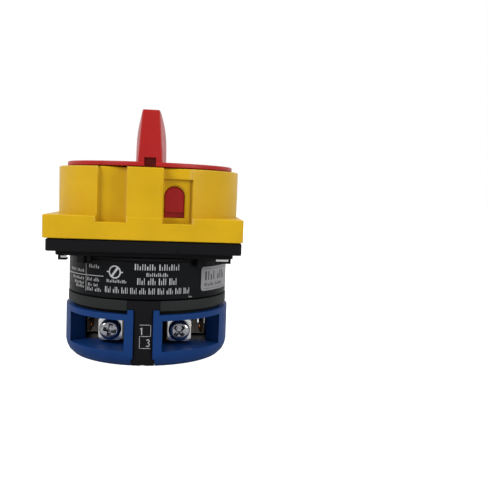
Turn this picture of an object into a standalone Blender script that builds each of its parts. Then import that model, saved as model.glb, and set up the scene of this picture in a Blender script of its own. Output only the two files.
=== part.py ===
"""Padlockable rotary isolator switch, built piece by piece.

The switch stands on its back end: the shaft axis is +Z, the origin is the middle of the
back end, and the front of the switch (terminals 1 and 3) looks along -Y. Lengths below are
in millimetres and angles in degrees; solids are turned into metres when they are made.
"""
import math

import bmesh
import bpy
from mathutils import Matrix, Vector

MM = 0.001
GAP = 0.3                    # clearance between neighbouring pieces
SMOOTH_ANGLE = 32.0
ROUND = 64                   # segments of a large turned face
MEDIUM = 32                  # segments of a hub or a bearing
SMALL = 14                   # segments of a screw or a hole

# heights along the shaft, from the back end to the top of the grip
SECTION_TOP = 18.4
COVER_BOTTOM, COVER_TOP = 18.7, 22.1
DETENT_BOTTOM, COLLAR_BOTTOM, DETENT_TOP = 22.4, 35.2, 36.3
STEP_BOTTOM, BASE_BOTTOM, BASE_TOP = 36.6, 38.1, 42.0
FLANGE_BOTTOM, FLANGE_TOP, RING_TOP = 42.3, 49.8, 65.7
DISC_BOTTOM, DISC_TOP, GRIP_TOP = 66.0, 67.5, 84.3

# front housing and base
FLANGE_HALF = 32.0
FLANGE_CORNER = 1.4
RING_RADIUS = 32.0
RING_BORE = 25.2
RING_TOP_WALL = 2.0
HUB_RADIUS = 7.8
RECESS_X = (5.8, 15.3)
RECESS_BOTTOM = 47.9
RECESS_FLOOR_Y = 26.4
LINTEL_Z = 62.2
LINTEL_FLOOR_Y = 27.5
WINDOW_X = 9.2
WINDOW_HALF = 3.25
WINDOW_Z = (49.9, 59.9)
RAIL_X = (3.6, 13.6)         # ribs on both sides of the tongue
RAIL_WIDTH = 1.2
BASE_HALF = 31.5
BASE_CORNER = 1.2
STEP_HALF = 28.9
STEP_CORNER = 2.6
BASE_HOLE = 9.0
SCREW_SPREAD = 24.0          # base screws stand on a 48 mm square
BASE_SCREW_HOLE, BASE_SCREW_POCKET = 2.0, 3.7
BOLT_Y = 24.0                # stack bolts run through the two columns
BOLT_HOLE, NUT_POCKET = 1.8, 3.5
SEAL_RADII = (27.5, 29.1)
LUG_RADII = (29.15, 30.7)
LUG_BOTTOM = 33.4
LUG_ANGLES = (-142.0, -45.0, 38.0, 135.0)
HOOKS_X = ((-27.7, -24.8), (28.1, 22.9))     # leg and toe of the left and the right hooks
HOOK_Y = (26.3, 28.4)
HOOK_TOE_Z = (35.1, 35.8)

# handle
DISC_RADIUS = 29.4
GRIP_HALF_LENGTH = 27.5
GRIP_PLAY_DEG = 2.0          # the knob stands a little off square on its shaft
GRIP_Z = (67.0, 79.5, 83.6, 84.3)
GRIP_END_HALF = (4.0, 2.9, 2.5, 2.1)         # half width of the end faces at those heights
GRIP_SWELL = (1.7, 1.9, 1.3, 1.1)            # and how much wider its middle is
NOTCH_WIDTH = 3.7
NOTCH_TOP = 69.0
HUB_BOTTOM = 52.0
KNOB_SCREW_HOLE, KNOB_SCREW_POCKET = 1.8, 3.2
KNOB_SEAT = 75.2             # the knob's screw and washer press here

# switch body
HOUSING_RADIUS = 27.9
LABEL_RADII = (28.05, 28.35)
STICKER_RADII = (28.5, 28.65)
STICKER_ANGLES = (41.0, 77.0)
COVER_RADIUS = 28.5
COVER_NOTCH_HALF = 5.4
SHROUD_RADIUS = 29.1
SHROUD_BORE = 26.9
SHROUD_EDGE_X = 3.5
SHROUD_WINDOW_X = (6.2, 25.8)
SHROUD_WINDOW_Z = (5.2, 15.6)
COLUMN_HALF = 3.2
COLUMN_RADIUS = 28.4
CORE_HALF = (14.4, 13.8)
FLOOR_RADIUS = 25.7
ROOF_RADIUS = 26.4
CHAMBER_RADIUS = 9.2
SHAFT_PASSAGE = 6.5
TERMINAL_X = 11.8
TERMINAL_Z = 10.3
TERMINAL_HOLE = 2.0
STRAP_OUTER_X, STRAP_INNER_X = 15.9, 7.4
STRAP_FRONT_Y, STRAP_BACK_Y = 15.0, 14.1
CONTACT_Y = 9.6              # the contact tips stand this far from the middle
TIP_RADIUS = 1.5
WASHER_HALF, WASHER_CORNER = 4.15, 3.1
WASHER_Y = (15.3, 16.4)
HEAD_RADIUS = 3.7
END_COVER_HALF = 12.9

# mechanism
SHAFT_HALF = 3.0
SHAFT_BOTTOM, SHAFT_TOP = 1.9, 70.2
BORE_HALF = SHAFT_HALF + GAP
CAM_HIGH, CAM_LOW = 7.9, 5.9
STAR_MEAN, STAR_LIFT = 9.2, 0.5
STAR_Z = (24.7, 30.3)
STOP_Z = (30.6, 32.6)
CLICK_CHAMBER = 12.0
SLIDER_HALF = 3.7
SLIDER_Z = (25.0, 30.0)
PLUNGER_HALF = 3.0
PLUNGER_Z = (6.2, 12.8)
BRIDGE_X = (19.1, 20.1)
BRIDGE_HALF_LENGTH = 11.4
SPRING_WIRE = 0.4
BOLT_RADIUS, BOLT_HEAD = 1.45, 2.4


# ---------------------------------------------------------------- solids as (points, faces)

def box(low, high):
    """A block between two corners."""
    points = [(x, y, z) for z in (low[2], high[2]) for y in (low[1], high[1]) for x in (low[0], high[0])]
    faces = [(0, 2, 3, 1), (4, 5, 7, 6), (0, 1, 5, 4), (2, 6, 7, 3), (0, 4, 6, 2), (1, 3, 7, 5)]
    return points, faces


def loft(sections):
    """A closed skin over sections that hold equally many points, capped at both ends."""
    count = len(sections[0])
    points = [point for section in sections for point in section]
    faces = [tuple(range(count))]
    for s in range(len(sections) - 1):
        for i in range(count):
            j = (i + 1) % count
            faces.append((s * count + i, s * count + j, (s + 1) * count + j, (s + 1) * count + i))
    faces.append(tuple(range((len(sections) - 1) * count, len(sections) * count)))
    return points, faces


def prism(outline, z_low, z_high):
    """A flat outline in x and y, drawn up from one height to another."""
    return loft([[(x, y, z) for x, y in outline] for z in (z_low, z_high)])


def arc(radius, start, stop, steps, centre=(0.0, 0.0)):
    """Points on a circle between two angles, both ends included."""
    angles = [math.radians(start + (stop - start) * i / steps) for i in range(steps + 1)]
    return [(centre[0] + radius * math.cos(a), centre[1] + radius * math.sin(a)) for a in angles]


def rounded_square(half, corner, steps=4):
    """A square outline with round corners."""
    inner = half - corner
    outline = []
    for quarter, (x, y) in enumerate(((1, 1), (-1, 1), (-1, -1), (1, -1))):
        start = 90.0 * quarter
        outline += arc(corner, start, start + 90.0, steps, (x * inner, y * inner))
    return outline


def turned(profile, segments=ROUND):
    """A profile of (radius, height) turned about the z axis.

    A profile that starts and ends on the axis makes a solid with flat ends; any other
    profile closes on itself and makes a ring.
    """
    solid = profile[0][0] == 0.0
    rings = [point for point in profile if point[0] > 0.0]
    sections = [[(x, y, height) for x, y in arc(radius, 0.0, 360.0, segments)[:-1]] for radius, height in rings]
    if not solid:
        sections.append(sections[0])
    points, faces = loft(sections)
    if solid:
        return points, faces
    closing = (len(sections) - 1) * segments
    faces = [tuple(i % closing for i in face) for face in faces[1:-1]]
    return points[:closing], faces


def cylinder(radius, z_low, z_high, segments=SMALL):
    """A round bar or hole about the z axis."""
    return prism(arc(radius, 0.0, 360.0, segments)[:-1], z_low, z_high)


def band(radii, columns):
    """A curved strip between two radii; each column is (angle, lowest z, highest z)."""
    sections = []
    for angle, z_low, z_high in columns:
        a = math.radians(angle)
        sections.append([(r * math.cos(a), r * math.sin(a), z)
                         for r, z in ((radii[0], z_low), (radii[1], z_low), (radii[1], z_high), (radii[0], z_high))])
    return loft(sections)


def coil(radius, wire, start_x, stop_x, turns, steps=8, sides=4):
    """A helical spring about the x axis."""
    sections = []
    for i in range(turns * steps + 1):
        angle = 2.0 * math.pi * i / steps
        outward = Vector((0.0, math.cos(angle), math.sin(angle)))
        centre = outward * radius + Vector((start_x + (stop_x - start_x) * i / (turns * steps), 0.0, 0.0))
        section = []
        for k in range(sides):
            b = 2.0 * math.pi * k / sides
            section.append(tuple(centre + wire * (math.cos(b) * outward + math.sin(b) * Vector((1.0, 0.0, 0.0)))))
        sections.append(section)
    return loft(sections)


def moved(solid, matrix):
    return [tuple(matrix @ Vector(p)) for p in solid[0]], solid[1]


def shifted(solid, x=0.0, y=0.0, z=0.0):
    return moved(solid, Matrix.Translation((x, y, z)))


def turned_to(solid, angle):
    """The solid turned about the shaft axis."""
    return moved(solid, Matrix.Rotation(math.radians(angle), 4, "Z"))


def along_y(solid, x, z):
    """A solid made about +Z, laid over so that its +Z points along -Y, with its axis at x and z."""
    return shifted(moved(solid, Matrix.Rotation(math.radians(90.0), 4, "X")), x=x, z=z)


def along_x(solid, side, y, z):
    """A solid made about +Z, laid over so that its +Z points along +X or -X."""
    return shifted(moved(solid, Matrix.Rotation(math.radians(90.0 * side), 4, "Y")), y=y, z=z)


def mirrored(solid, side_x=1, side_y=1):
    return [(p[0] * side_x, p[1] * side_y, p[2]) for p in solid[0]], solid[1]


# ---------------------------------------------------------------- objects and materials

def clear_scene():
    for item in list(bpy.data.objects):
        bpy.data.objects.remove(item, do_unlink=True)


def make_material(name, colour, roughness, metallic=0.0):
    material = bpy.data.materials.new(name)
    material.use_nodes = True
    shader = material.node_tree.nodes["Principled BSDF"]
    shader.inputs["Base Color"].default_value = (*colour, 1.0)
    shader.inputs["Roughness"].default_value = roughness
    shader.inputs["Metallic"].default_value = metallic
    material.diffuse_color = (*colour, 1.0)
    return material


def make_object(name, solids, material=None, centre=(0.0, 0.0, 0.0)):
    """One object from closed solids, in metres, with its origin at centre (in millimetres)."""
    mesh = bpy.data.meshes.new(name)
    work = bmesh.new()
    for points, faces in solids:
        corners = [work.verts.new([(value - origin) * MM for value, origin in zip(p, centre)]) for p in points]
        for face in faces:
            work.faces.new([corners[i] for i in face])
    bmesh.ops.recalc_face_normals(work, faces=work.faces)
    work.to_mesh(mesh)
    work.free()
    item = bpy.data.objects.new(name, mesh)
    item.location = [value * MM for value in centre]
    bpy.context.scene.collection.objects.link(item)
    if material:
        mesh.materials.append(material)
        mesh.shade_smooth()
        mesh.set_sharp_from_angle(angle=math.radians(SMOOTH_ANGLE))
    return item


def combine(item, operation, solids):
    """Cut solids out of an object (DIFFERENCE), add them (UNION) or keep what is inside (INTERSECT)."""
    centre = [value / MM for value in item.location]
    for number, solid in enumerate(solids):
        tool = make_object(f"{item.name}_{operation.lower()}_{len(item.modifiers)}_{number}", [solid], None, centre)
        tool.hide_render = True
        tool.display_type = "WIRE"
        change = item.modifiers.new(tool.name, "BOOLEAN")
        change.operation = operation
        change.solver = "EXACT"
        change.object = tool
    return item


def square_bore(z_low, z_high):
    return box((-BORE_HALF, -BORE_HALF, z_low), (BORE_HALF, BORE_HALF, z_high))


def bolt_holes(radius, z_low, z_high):
    return [shifted(cylinder(radius, z_low, z_high), y=side * BOLT_Y) for side in (-1, 1)]


# ---------------------------------------------------------------- front: handle and lock housing

def grip_section(y):
    """One cross-section of the grip: wider in the middle of its length, narrower at the top."""
    swell = 1.0 - (y / GRIP_HALF_LENGTH) ** 2
    halves = [end + more * swell for end, more in zip(GRIP_END_HALF, GRIP_SWELL)]
    right = [(half, y, z) for half, z in zip(halves, GRIP_Z)]
    left = [(-half, y, z) for half, z in zip(halves, GRIP_Z)]
    return right + left[::-1]


def red_handle(material):
    """Knob: flat disc, long grip on it and a hub below it that takes the square shaft."""
    disc = turned([(0.0, DISC_BOTTOM), (DISC_RADIUS - 0.3, DISC_BOTTOM), (DISC_RADIUS, DISC_BOTTOM + 0.3),
                   (DISC_RADIUS, DISC_TOP - 0.5), (DISC_RADIUS - 0.5, DISC_TOP), (0.0, DISC_TOP)])
    item = make_object("red_handle", [disc], material)
    stations = 12
    grip = loft([grip_section(GRIP_HALF_LENGTH * (2.0 * i / stations - 1.0)) for i in range(stations + 1)])
    hub = cylinder(HUB_RADIUS, HUB_BOTTOM, DISC_BOTTOM + 0.6, MEDIUM)
    notch = box((-NOTCH_WIDTH / 2, -DISC_RADIUS - 1.0, DISC_BOTTOM - 1.0), (NOTCH_WIDTH / 2, -24.4, NOTCH_TOP))
    combine(item, "UNION", [turned_to(grip, GRIP_PLAY_DEG), hub])
    screw_hole = cylinder(KNOB_SCREW_HOLE, SHAFT_TOP, KNOB_SEAT)
    screw_pocket = cylinder(KNOB_SCREW_POCKET, KNOB_SEAT - 0.2, GRIP_TOP + 1.0)
    cuts = [square_bore(HUB_BOTTOM - 1.0, SHAFT_TOP + GAP), screw_hole, screw_pocket]
    return combine(item, "DIFFERENCE", cuts + [turned_to(notch, GRIP_PLAY_DEG)])


def handle_fasteners(steel, red):
    """Screw and washer that hold the knob on the shaft, and the plug that hides them."""
    head = KNOB_SCREW_POCKET - GAP
    under_head = KNOB_SEAT + 0.8
    screw = turned([(0.0, 61.0), (BOLT_RADIUS, 61.0), (BOLT_RADIUS, under_head), (head, under_head),
                    (head, under_head + 1.3), (head - 0.7, under_head + 2.3), (0.0, under_head + 2.5)], SMALL)
    make_object("handle_screw", [screw], steel)
    washer_top = KNOB_SEAT + 0.5
    washer = turned([(1.8, KNOB_SEAT), (head, KNOB_SEAT), (head, washer_top), (1.8, washer_top)], SMALL)
    make_object("handle_washer", [washer], steel)
    plug_bottom = GRIP_TOP - 2.7
    plug = turned([(0.0, plug_bottom), (head, plug_bottom), (head, GRIP_TOP - 0.3), (head - 0.3, GRIP_TOP),
                   (0.0, GRIP_TOP)], SMALL)
    make_object("handle_plug", [plug], red)


def window_arch(half, z_low, z_high, y_low, y_high):
    """An upright slot with a round top, through the front wall at the window's place."""
    outline = [(half, z_low)] + arc(half, 0.0, 180.0, 12, (0.0, z_high - half)) + [(-half, z_low)]
    return loft([[(WINDOW_X + x, y, z) for x, z in outline] for y in (y_low, y_high)])


def front_recess(x_low, x_high, z_low, z_high, floor_y, side_y):
    """A pocket in the housing's wall: side_y is -1 at the front and +1 at the rear."""
    far = FLANGE_HALF + 1.0
    low_y, high_y = sorted((side_y * floor_y, side_y * far))
    return box((x_low, low_y, z_low), (x_high, high_y, z_high))


def lock_housing(material):
    """Yellow front housing: a square flange under a thick ring, hollow from below."""
    flange = prism(rounded_square(FLANGE_HALF, FLANGE_CORNER), FLANGE_BOTTOM, FLANGE_TOP)
    item = make_object("lock_housing", [flange], material)
    ring_bottom = FLANGE_BOTTOM + 3.0
    ring = turned([(0.0, ring_bottom), (RING_RADIUS, ring_bottom), (RING_RADIUS, RING_TOP - 0.3),
                   (RING_RADIUS - 0.3, RING_TOP), (0.0, RING_TOP)])
    combine(item, "UNION", [ring])
    cuts = [cylinder(RING_BORE, FLANGE_BOTTOM - 1.0, RING_TOP - RING_TOP_WALL, ROUND),
            cylinder(HUB_RADIUS + GAP, RING_TOP - 4.0, RING_TOP + 1.0, MEDIUM)]
    top = RING_TOP + 1.0
    for side in (-1, 1):
        left, right = sorted((side * RECESS_X[0], side * RECESS_X[1]))
        cuts.append(front_recess(left, right, RECESS_BOTTOM, top, RECESS_FLOOR_Y, side))
        far_left, far_right = sorted((-side * RECESS_X[0], -side * RECESS_X[1]))
        cuts.append(front_recess(far_left, far_right, RECESS_BOTTOM, LINTEL_Z, RECESS_FLOOR_Y, side))
        cuts.append(front_recess(far_left, far_right, LINTEL_Z - 0.5, top, LINTEL_FLOOR_Y, side))
    cuts.append(window_arch(WINDOW_HALF, *WINDOW_Z, -RECESS_FLOOR_Y - 2.0, -20.0))
    seal_groove = turned([(SEAL_RADII[0] - GAP, 41.3), (SEAL_RADII[1] + GAP, 41.3), (SEAL_RADII[1] + GAP, 44.3),
                          (SEAL_RADII[0] - GAP, 44.3)])
    cuts.append(seal_groove)
    for x in (-SCREW_SPREAD, SCREW_SPREAD):
        for y in (-SCREW_SPREAD, SCREW_SPREAD):
            cuts.append(shifted(cylinder(BASE_SCREW_HOLE, FLANGE_BOTTOM - 1.0, 48.3), x=x, y=y))
    combine(item, "DIFFERENCE", cuts)
    rails = [box((x, -24.6, 48.6), (x + RAIL_WIDTH, -9.0, RING_TOP - RING_TOP_WALL + 0.5)) for x in RAIL_X]
    return combine(item, "UNION", rails)


def lock_tongue(material):
    """Pull-out tongue behind the arched window; a padlock shackle goes through its eye."""
    half = WINDOW_HALF - GAP
    bar = window_arch(half, WINDOW_Z[0] + GAP, WINDOW_Z[1] - GAP, -25.4, -7.0)
    item = make_object("lock_tongue", [bar], material, (WINDOW_X, -16.0, 54.9))
    shoulder = box((5.2, -8.4, WINDOW_Z[0] + GAP), (13.2, -7.0, WINDOW_Z[1] - 1.5))
    combine(item, "UNION", [shoulder])
    eye = shifted(along_x(cylinder(3.0, -6.0, 6.0, 24), 1, -21.2, 54.9), x=WINDOW_X)
    nail_groove = box((WINDOW_X - 5.0, -26.0, WINDOW_Z[0]), (WINDOW_X + 5.0, -24.6, WINDOW_Z[0] + 1.9))
    return combine(item, "DIFFERENCE", [eye, nail_groove])


# ---------------------------------------------------------------- base, seal and their screws

def hook(x_leg, x_toe, side_y):
    """Foot under the base plate: an outer leg with a toe that points inwards."""
    leg_low, leg_high = sorted((x_leg, x_leg - math.copysign(0.7, x_leg)))
    toe_low, toe_high = sorted((x_leg, x_toe))
    y_low, y_high = sorted((side_y * HOOK_Y[0], side_y * HOOK_Y[1]))
    leg = box((leg_low, y_low, HOOK_TOE_Z[0] + 0.2), (leg_high, y_high, STEP_BOTTOM + 0.5))
    toe = box((toe_low, y_low, HOOK_TOE_Z[0]), (toe_high, y_high, HOOK_TOE_Z[1]))
    return [leg, toe]


def base_lug(angle):
    """Short curved lug that locates the round body under the base."""
    columns = [(angle - 90.0 + 1.75 * i, LUG_BOTTOM, STEP_BOTTOM + 0.6) for i in range(-2, 3)]
    return band(LUG_RADII, columns)


def mount_base(material):
    """Black base plate: a square plate, a smaller step under it, lugs and four hooked feet."""
    plate = prism(rounded_square(BASE_HALF, BASE_CORNER), BASE_BOTTOM, BASE_TOP)
    item = make_object("mount_base", [plate], material)
    parts = [prism(rounded_square(STEP_HALF, STEP_CORNER), STEP_BOTTOM, BASE_BOTTOM + 0.7)]
    parts += [base_lug(angle) for angle in LUG_ANGLES]
    for side in (-1, 1):
        for leg, toe in HOOKS_X:
            parts += hook(leg, toe, side)
    combine(item, "UNION", parts)
    below, above = STEP_BOTTOM - 0.6, BASE_TOP + 1.0
    cuts = [cylinder(BASE_HOLE, below, above, MEDIUM)]
    for x in (-SCREW_SPREAD, SCREW_SPREAD):
        for y in (-SCREW_SPREAD, SCREW_SPREAD):
            cuts.append(shifted(cylinder(BASE_SCREW_HOLE, below, above), x=x, y=y))
            cuts.append(shifted(cylinder(BASE_SCREW_POCKET, below, BASE_BOTTOM + 1.5), x=x, y=y))
    cuts += bolt_holes(BOLT_HOLE, below, above) + bolt_holes(NUT_POCKET, BASE_TOP - 2.5, above)
    return combine(item, "DIFFERENCE", cuts)


def base_fittings(steel, rubber, nylon):
    """Four base screws, the flange seal and the bush that carries the shaft."""
    screw = turned([(0.0, 36.9), (2.6, 37.0), (3.4, 37.7), (3.4, 39.3), (1.7, 39.3), (1.7, 47.8), (0.0, 47.8)],
                   SMALL)
    corners = [(x, y) for y in (-SCREW_SPREAD, SCREW_SPREAD) for x in (-SCREW_SPREAD, SCREW_SPREAD)]
    for number, (x, y) in enumerate(corners, 1):
        make_object(f"base_screw_{number}", [shifted(screw, x=x, y=y)], steel)
    seal = turned([(SEAL_RADII[0], 42.3), (SEAL_RADII[1], 42.3), (SEAL_RADII[1], 43.9), (SEAL_RADII[0], 43.9)])
    make_object("flange_seal", [seal], rubber)
    bush = turned([(4.7, 37.0), (8.7, 37.0), (8.7, 41.6), (4.7, 41.6)], MEDIUM)
    make_object("shaft_bush", [bush], nylon)


# ---------------------------------------------------------------- detent stage

def detent_housing(material):
    """Round black housing for the click mechanism, open towards the base plate."""
    shell = turned([(0.0, DETENT_BOTTOM), (HOUSING_RADIUS, DETENT_BOTTOM), (HOUSING_RADIUS, COLLAR_BOTTOM),
                    (28.8, COLLAR_BOTTOM), (28.8, DETENT_TOP), (0.0, DETENT_TOP)])
    item = make_object("detent_housing", [shell], material)
    floor = DETENT_BOTTOM + 2.0
    above, below = DETENT_TOP + 1.0, DETENT_BOTTOM - 1.0
    channel = SLIDER_HALF + GAP
    cuts = [cylinder(CLICK_CHAMBER, floor, above, MEDIUM), box((-25.0, -channel, floor), (25.0, channel, above)),
            cylinder(SHAFT_PASSAGE, below, floor + 1.0, MEDIUM)]
    combine(item, "DIFFERENCE", cuts + bolt_holes(BOLT_HOLE, below, above))
    stops = [band((9.4, 12.6), [(start + 2.5 * i, 30.9, DETENT_TOP) for i in range(5)]) for start in (24.0, 146.0)]
    return combine(item, "UNION", stops)


def name_label(material):
    """Printed wrap-around label on the housing, open at the rear."""
    steps = 50
    start, span = -90.0 - 150.0, 300.0
    columns = [(start + span * i / steps, DETENT_BOTTOM + GAP, COLLAR_BOTTOM - GAP) for i in range(steps + 1)]
    return make_object("name_label", [band(LABEL_RADII, columns)], material)


def rating_sticker(material):
    """Small blank sticker with rounded corners, on the label."""
    corner_angle, corner_height, corner_steps, flat_steps = 3.0, 1.4, 4, 10
    z_low, z_high = 24.8, 33.0
    start, stop = (angle - 90.0 for angle in STICKER_ANGLES)
    rounding = []
    for i in range(corner_steps + 1):
        rise = math.radians(90.0 * i / corner_steps)
        rounding.append((corner_angle * (1.0 - math.cos(rise)), corner_height * (1.0 - math.sin(rise))))
    flat = (stop - start - 2.0 * corner_angle) / flat_steps
    columns = [(start + turn, z_low + inset, z_high - inset) for turn, inset in rounding]
    columns += [(start + corner_angle + flat * i, z_low, z_high) for i in range(1, flat_steps)]
    columns += [(stop - turn, z_low + inset, z_high - inset) for turn, inset in reversed(rounding)]
    return make_object("rating_sticker", [band(STICKER_RADII, columns)], material)


def detent_parts(nylon, steel):
    """Star wheel, stop disc, and two sprung sliders that press on the star."""
    steps = 48
    star_outline = []
    for i in range(steps):
        angle = 2.0 * math.pi * i / steps
        radius = STAR_MEAN - STAR_LIFT * math.cos(4.0 * angle)
        star_outline.append((radius * math.cos(angle), radius * math.sin(angle)))
    star = make_object("star_wheel", [prism(star_outline, *STAR_Z)], nylon)
    combine(star, "DIFFERENCE", [square_bore(STAR_Z[0] - 1.0, STAR_Z[1] + 1.0)])
    tab_outline = arc(11.6, 127.0, 143.0, 6) + arc(8.6, 143.0, 487.0, 36)
    stop = make_object("stop_disc", [prism(tab_outline, *STOP_Z)], steel)
    combine(stop, "DIFFERENCE", [square_bore(STOP_Z[0] - 1.0, STOP_Z[1] + 1.0)])
    for side, name in ((-1, "left"), (1, "right")):
        nose = arc(SLIDER_HALF, 90.0, 270.0, 10, (13.8, 0.0))
        outline = [(side * x, y) for x, y in nose + [(16.9, -SLIDER_HALF), (16.9, SLIDER_HALF)]]
        middle = sum(SLIDER_Z) / 2.0
        make_object(f"detent_slider_{name}", [prism(outline, *SLIDER_Z)], nylon, (side * 13.5, 0.0, middle))
        spring = shifted(coil(2.2, SPRING_WIRE, side * 18.4, side * 24.2, 4), z=middle)
        make_object(f"detent_spring_{name}", [spring], steel)


def cover_plate(material):
    """Plate between the detent stage and the contact section; its rim is the dark band."""
    item = make_object("cover_plate", [turned([(0.0, COVER_BOTTOM), (COVER_RADIUS, COVER_BOTTOM),
                                               (COVER_RADIUS, COVER_TOP), (0.0, COVER_TOP)])], material)
    below, above = COVER_BOTTOM - 0.7, COVER_TOP + 0.9
    cuts = [cylinder(SHAFT_PASSAGE, below, above, MEDIUM)] + bolt_holes(BOLT_HOLE, below, above)
    for side in (-1, 1):
        low_y, high_y = sorted((side * 27.1, side * 30.0))
        cuts.append(box((-COVER_NOTCH_HALF, low_y, below), (COVER_NOTCH_HALF, high_y, above)))
    return combine(item, "DIFFERENCE", cuts)


# ---------------------------------------------------------------- contact section

def column(side_y):
    """Upright between the two shrouds, with its outer face on the body's circle."""
    edge = math.degrees(math.asin(COLUMN_HALF / COLUMN_RADIUS))
    outline = arc(COLUMN_RADIUS, -90.0 - edge, -90.0 + edge, 4)
    outline += [(COLUMN_HALF, -13.2), (-COLUMN_HALF, -13.2)]
    return mirrored(prism(outline, 0.0, SECTION_TOP - 0.01), side_y=-side_y)


def contact_block(material):
    """Black contact section: cam chamber, plunger guides, two columns and two end posts."""
    core = box((-CORE_HALF[0], -CORE_HALF[1], 1.8), (CORE_HALF[0], CORE_HALF[1], SECTION_TOP - 0.5))
    item = make_object("contact_block", [core], material)
    parts = [column(-1), column(1), cylinder(ROOF_RADIUS, 16.9, SECTION_TOP, ROUND),
             cylinder(FLOOR_RADIUS, 1.75, 3.4, ROUND)]
    for side in (-1, 1):
        low_x, high_x = sorted((side * 24.9, side * 26.2))
        parts.append(box((low_x, -4.0, 2.8), (high_x, 4.0, 17.5)))
        for side_y in (-1, 1):
            low_y, high_y = sorted((side_y * 3.35, side_y * 4.6))
            outer = sorted((side * 21.9, side * 26.0))
            inner = sorted((side * 14.0, side * 16.2))
            parts.append(box((outer[0], low_y, 2.9), (outer[1], high_y, 17.4)))
            parts.append(box((inner[0], low_y, 2.9), (inner[1], high_y, 17.4)))
    combine(item, "UNION", parts)
    envelope = turned([(0.0, 0.0), (26.5, 0.0), (27.9, 1.5), (COLUMN_RADIUS + 0.2, 3.2),
                       (COLUMN_RADIUS + 0.2, SECTION_TOP + 0.5), (0.0, SECTION_TOP + 0.5)])
    combine(item, "INTERSECT", [envelope])
    guide = PLUNGER_HALF + GAP
    cuts = [cylinder(CHAMBER_RADIUS, 1.0, 16.0, MEDIUM), cylinder(SHAFT_PASSAGE, 15.5, SECTION_TOP + 1.0, MEDIUM),
            box((-15.0, -guide, PLUNGER_Z[0] - GAP), (15.0, guide, PLUNGER_Z[1] + GAP))]
    for side_x in (-1, 1):
        for side_y in (-1, 1):
            hole = along_y(cylinder(TERMINAL_HOLE, 8.4, 14.5), side_x * TERMINAL_X, TERMINAL_Z)
            cuts.append(mirrored(hole, side_y=-side_y))
    cuts += bolt_holes(BOLT_HOLE, -1.0, SECTION_TOP + 1.0) + bolt_holes(BOLT_HEAD + GAP, -1.0, 3.0)
    return combine(item, "DIFFERENCE", cuts)


def end_cover(material):
    """Back bearing plate that closes the cam chamber."""
    return make_object("end_cover", [prism(rounded_square(END_COVER_HALF, 1.5), 0.0, 1.5)], material)


def shroud_jamb():
    """Slanting inner side of a terminal window, towards the outer side of the switch."""
    return prism([(-26.6, -10.4), (-25.9, -12.6), (-21.4, -8.6), (-22.3, -7.6)], 3.8, 16.5)


def shroud_shelf(z_low, z_high):
    """Flat floor or ceiling of a terminal window, from the wall back to the jamb."""
    start = -90.0 - math.degrees(math.asin(3.6 / 27.6))
    outline = arc(27.6, start, -154.0, 10) + [(-22.0, -9.0), (-17.5, -16.6), (-3.6, -16.6)]
    return prism(outline, z_low, z_high)


def shroud_window():
    """Opening through the shroud's wall; its outer side runs along the slanting jamb."""
    inner_x, outer_x = SHROUD_WINDOW_X
    outline = [(-outer_x, -31.0), (-inner_x, -31.0), (-inner_x, -20.5), (-22.6, -9.8), (-outer_x, -12.4)]
    return prism(outline, *SHROUD_WINDOW_Z)


def terminal_shroud(name, side_x, material):
    """Blue half-round cover over the terminals of one side, with a window front and rear."""
    profile = [(SHROUD_BORE, SECTION_TOP), (SHROUD_RADIUS, SECTION_TOP), (SHROUD_RADIUS, 4.6), (28.85, 3.0),
               (28.2, 1.6), (26.6, 0.0), (25.2, 0.0), (26.1, 1.5), (SHROUD_BORE, 3.4)]
    item = make_object(name, [turned(profile)], material)
    half_space = mirrored(box((-31.0, -31.0, -1.0), (-SHROUD_EDGE_X, 31.0, 20.0)), side_x=-side_x)
    combine(item, "INTERSECT", [half_space])
    sill, lintel = SHROUD_WINDOW_Z[0] - 0.1, SHROUD_WINDOW_Z[1] + 0.1
    column_side = box((-SHROUD_WINDOW_X[0] + 0.1, -27.9, 3.9), (-SHROUD_EDGE_X - 0.1, -19.0, 16.4))
    inner = [shroud_shelf(3.7, sill), shroud_shelf(lintel, 16.6), shroud_jamb(), column_side]
    for side_y in (-1, 1):
        combine(item, "UNION", [mirrored(piece, -side_x, -side_y) for piece in inner])
    return combine(item, "DIFFERENCE", [mirrored(shroud_window(), -side_x, -side_y) for side_y in (-1, 1)])


def terminal_hole(start, stop):
    return along_y(cylinder(TERMINAL_HOLE, start, stop), -TERMINAL_X, TERMINAL_Z)


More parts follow.
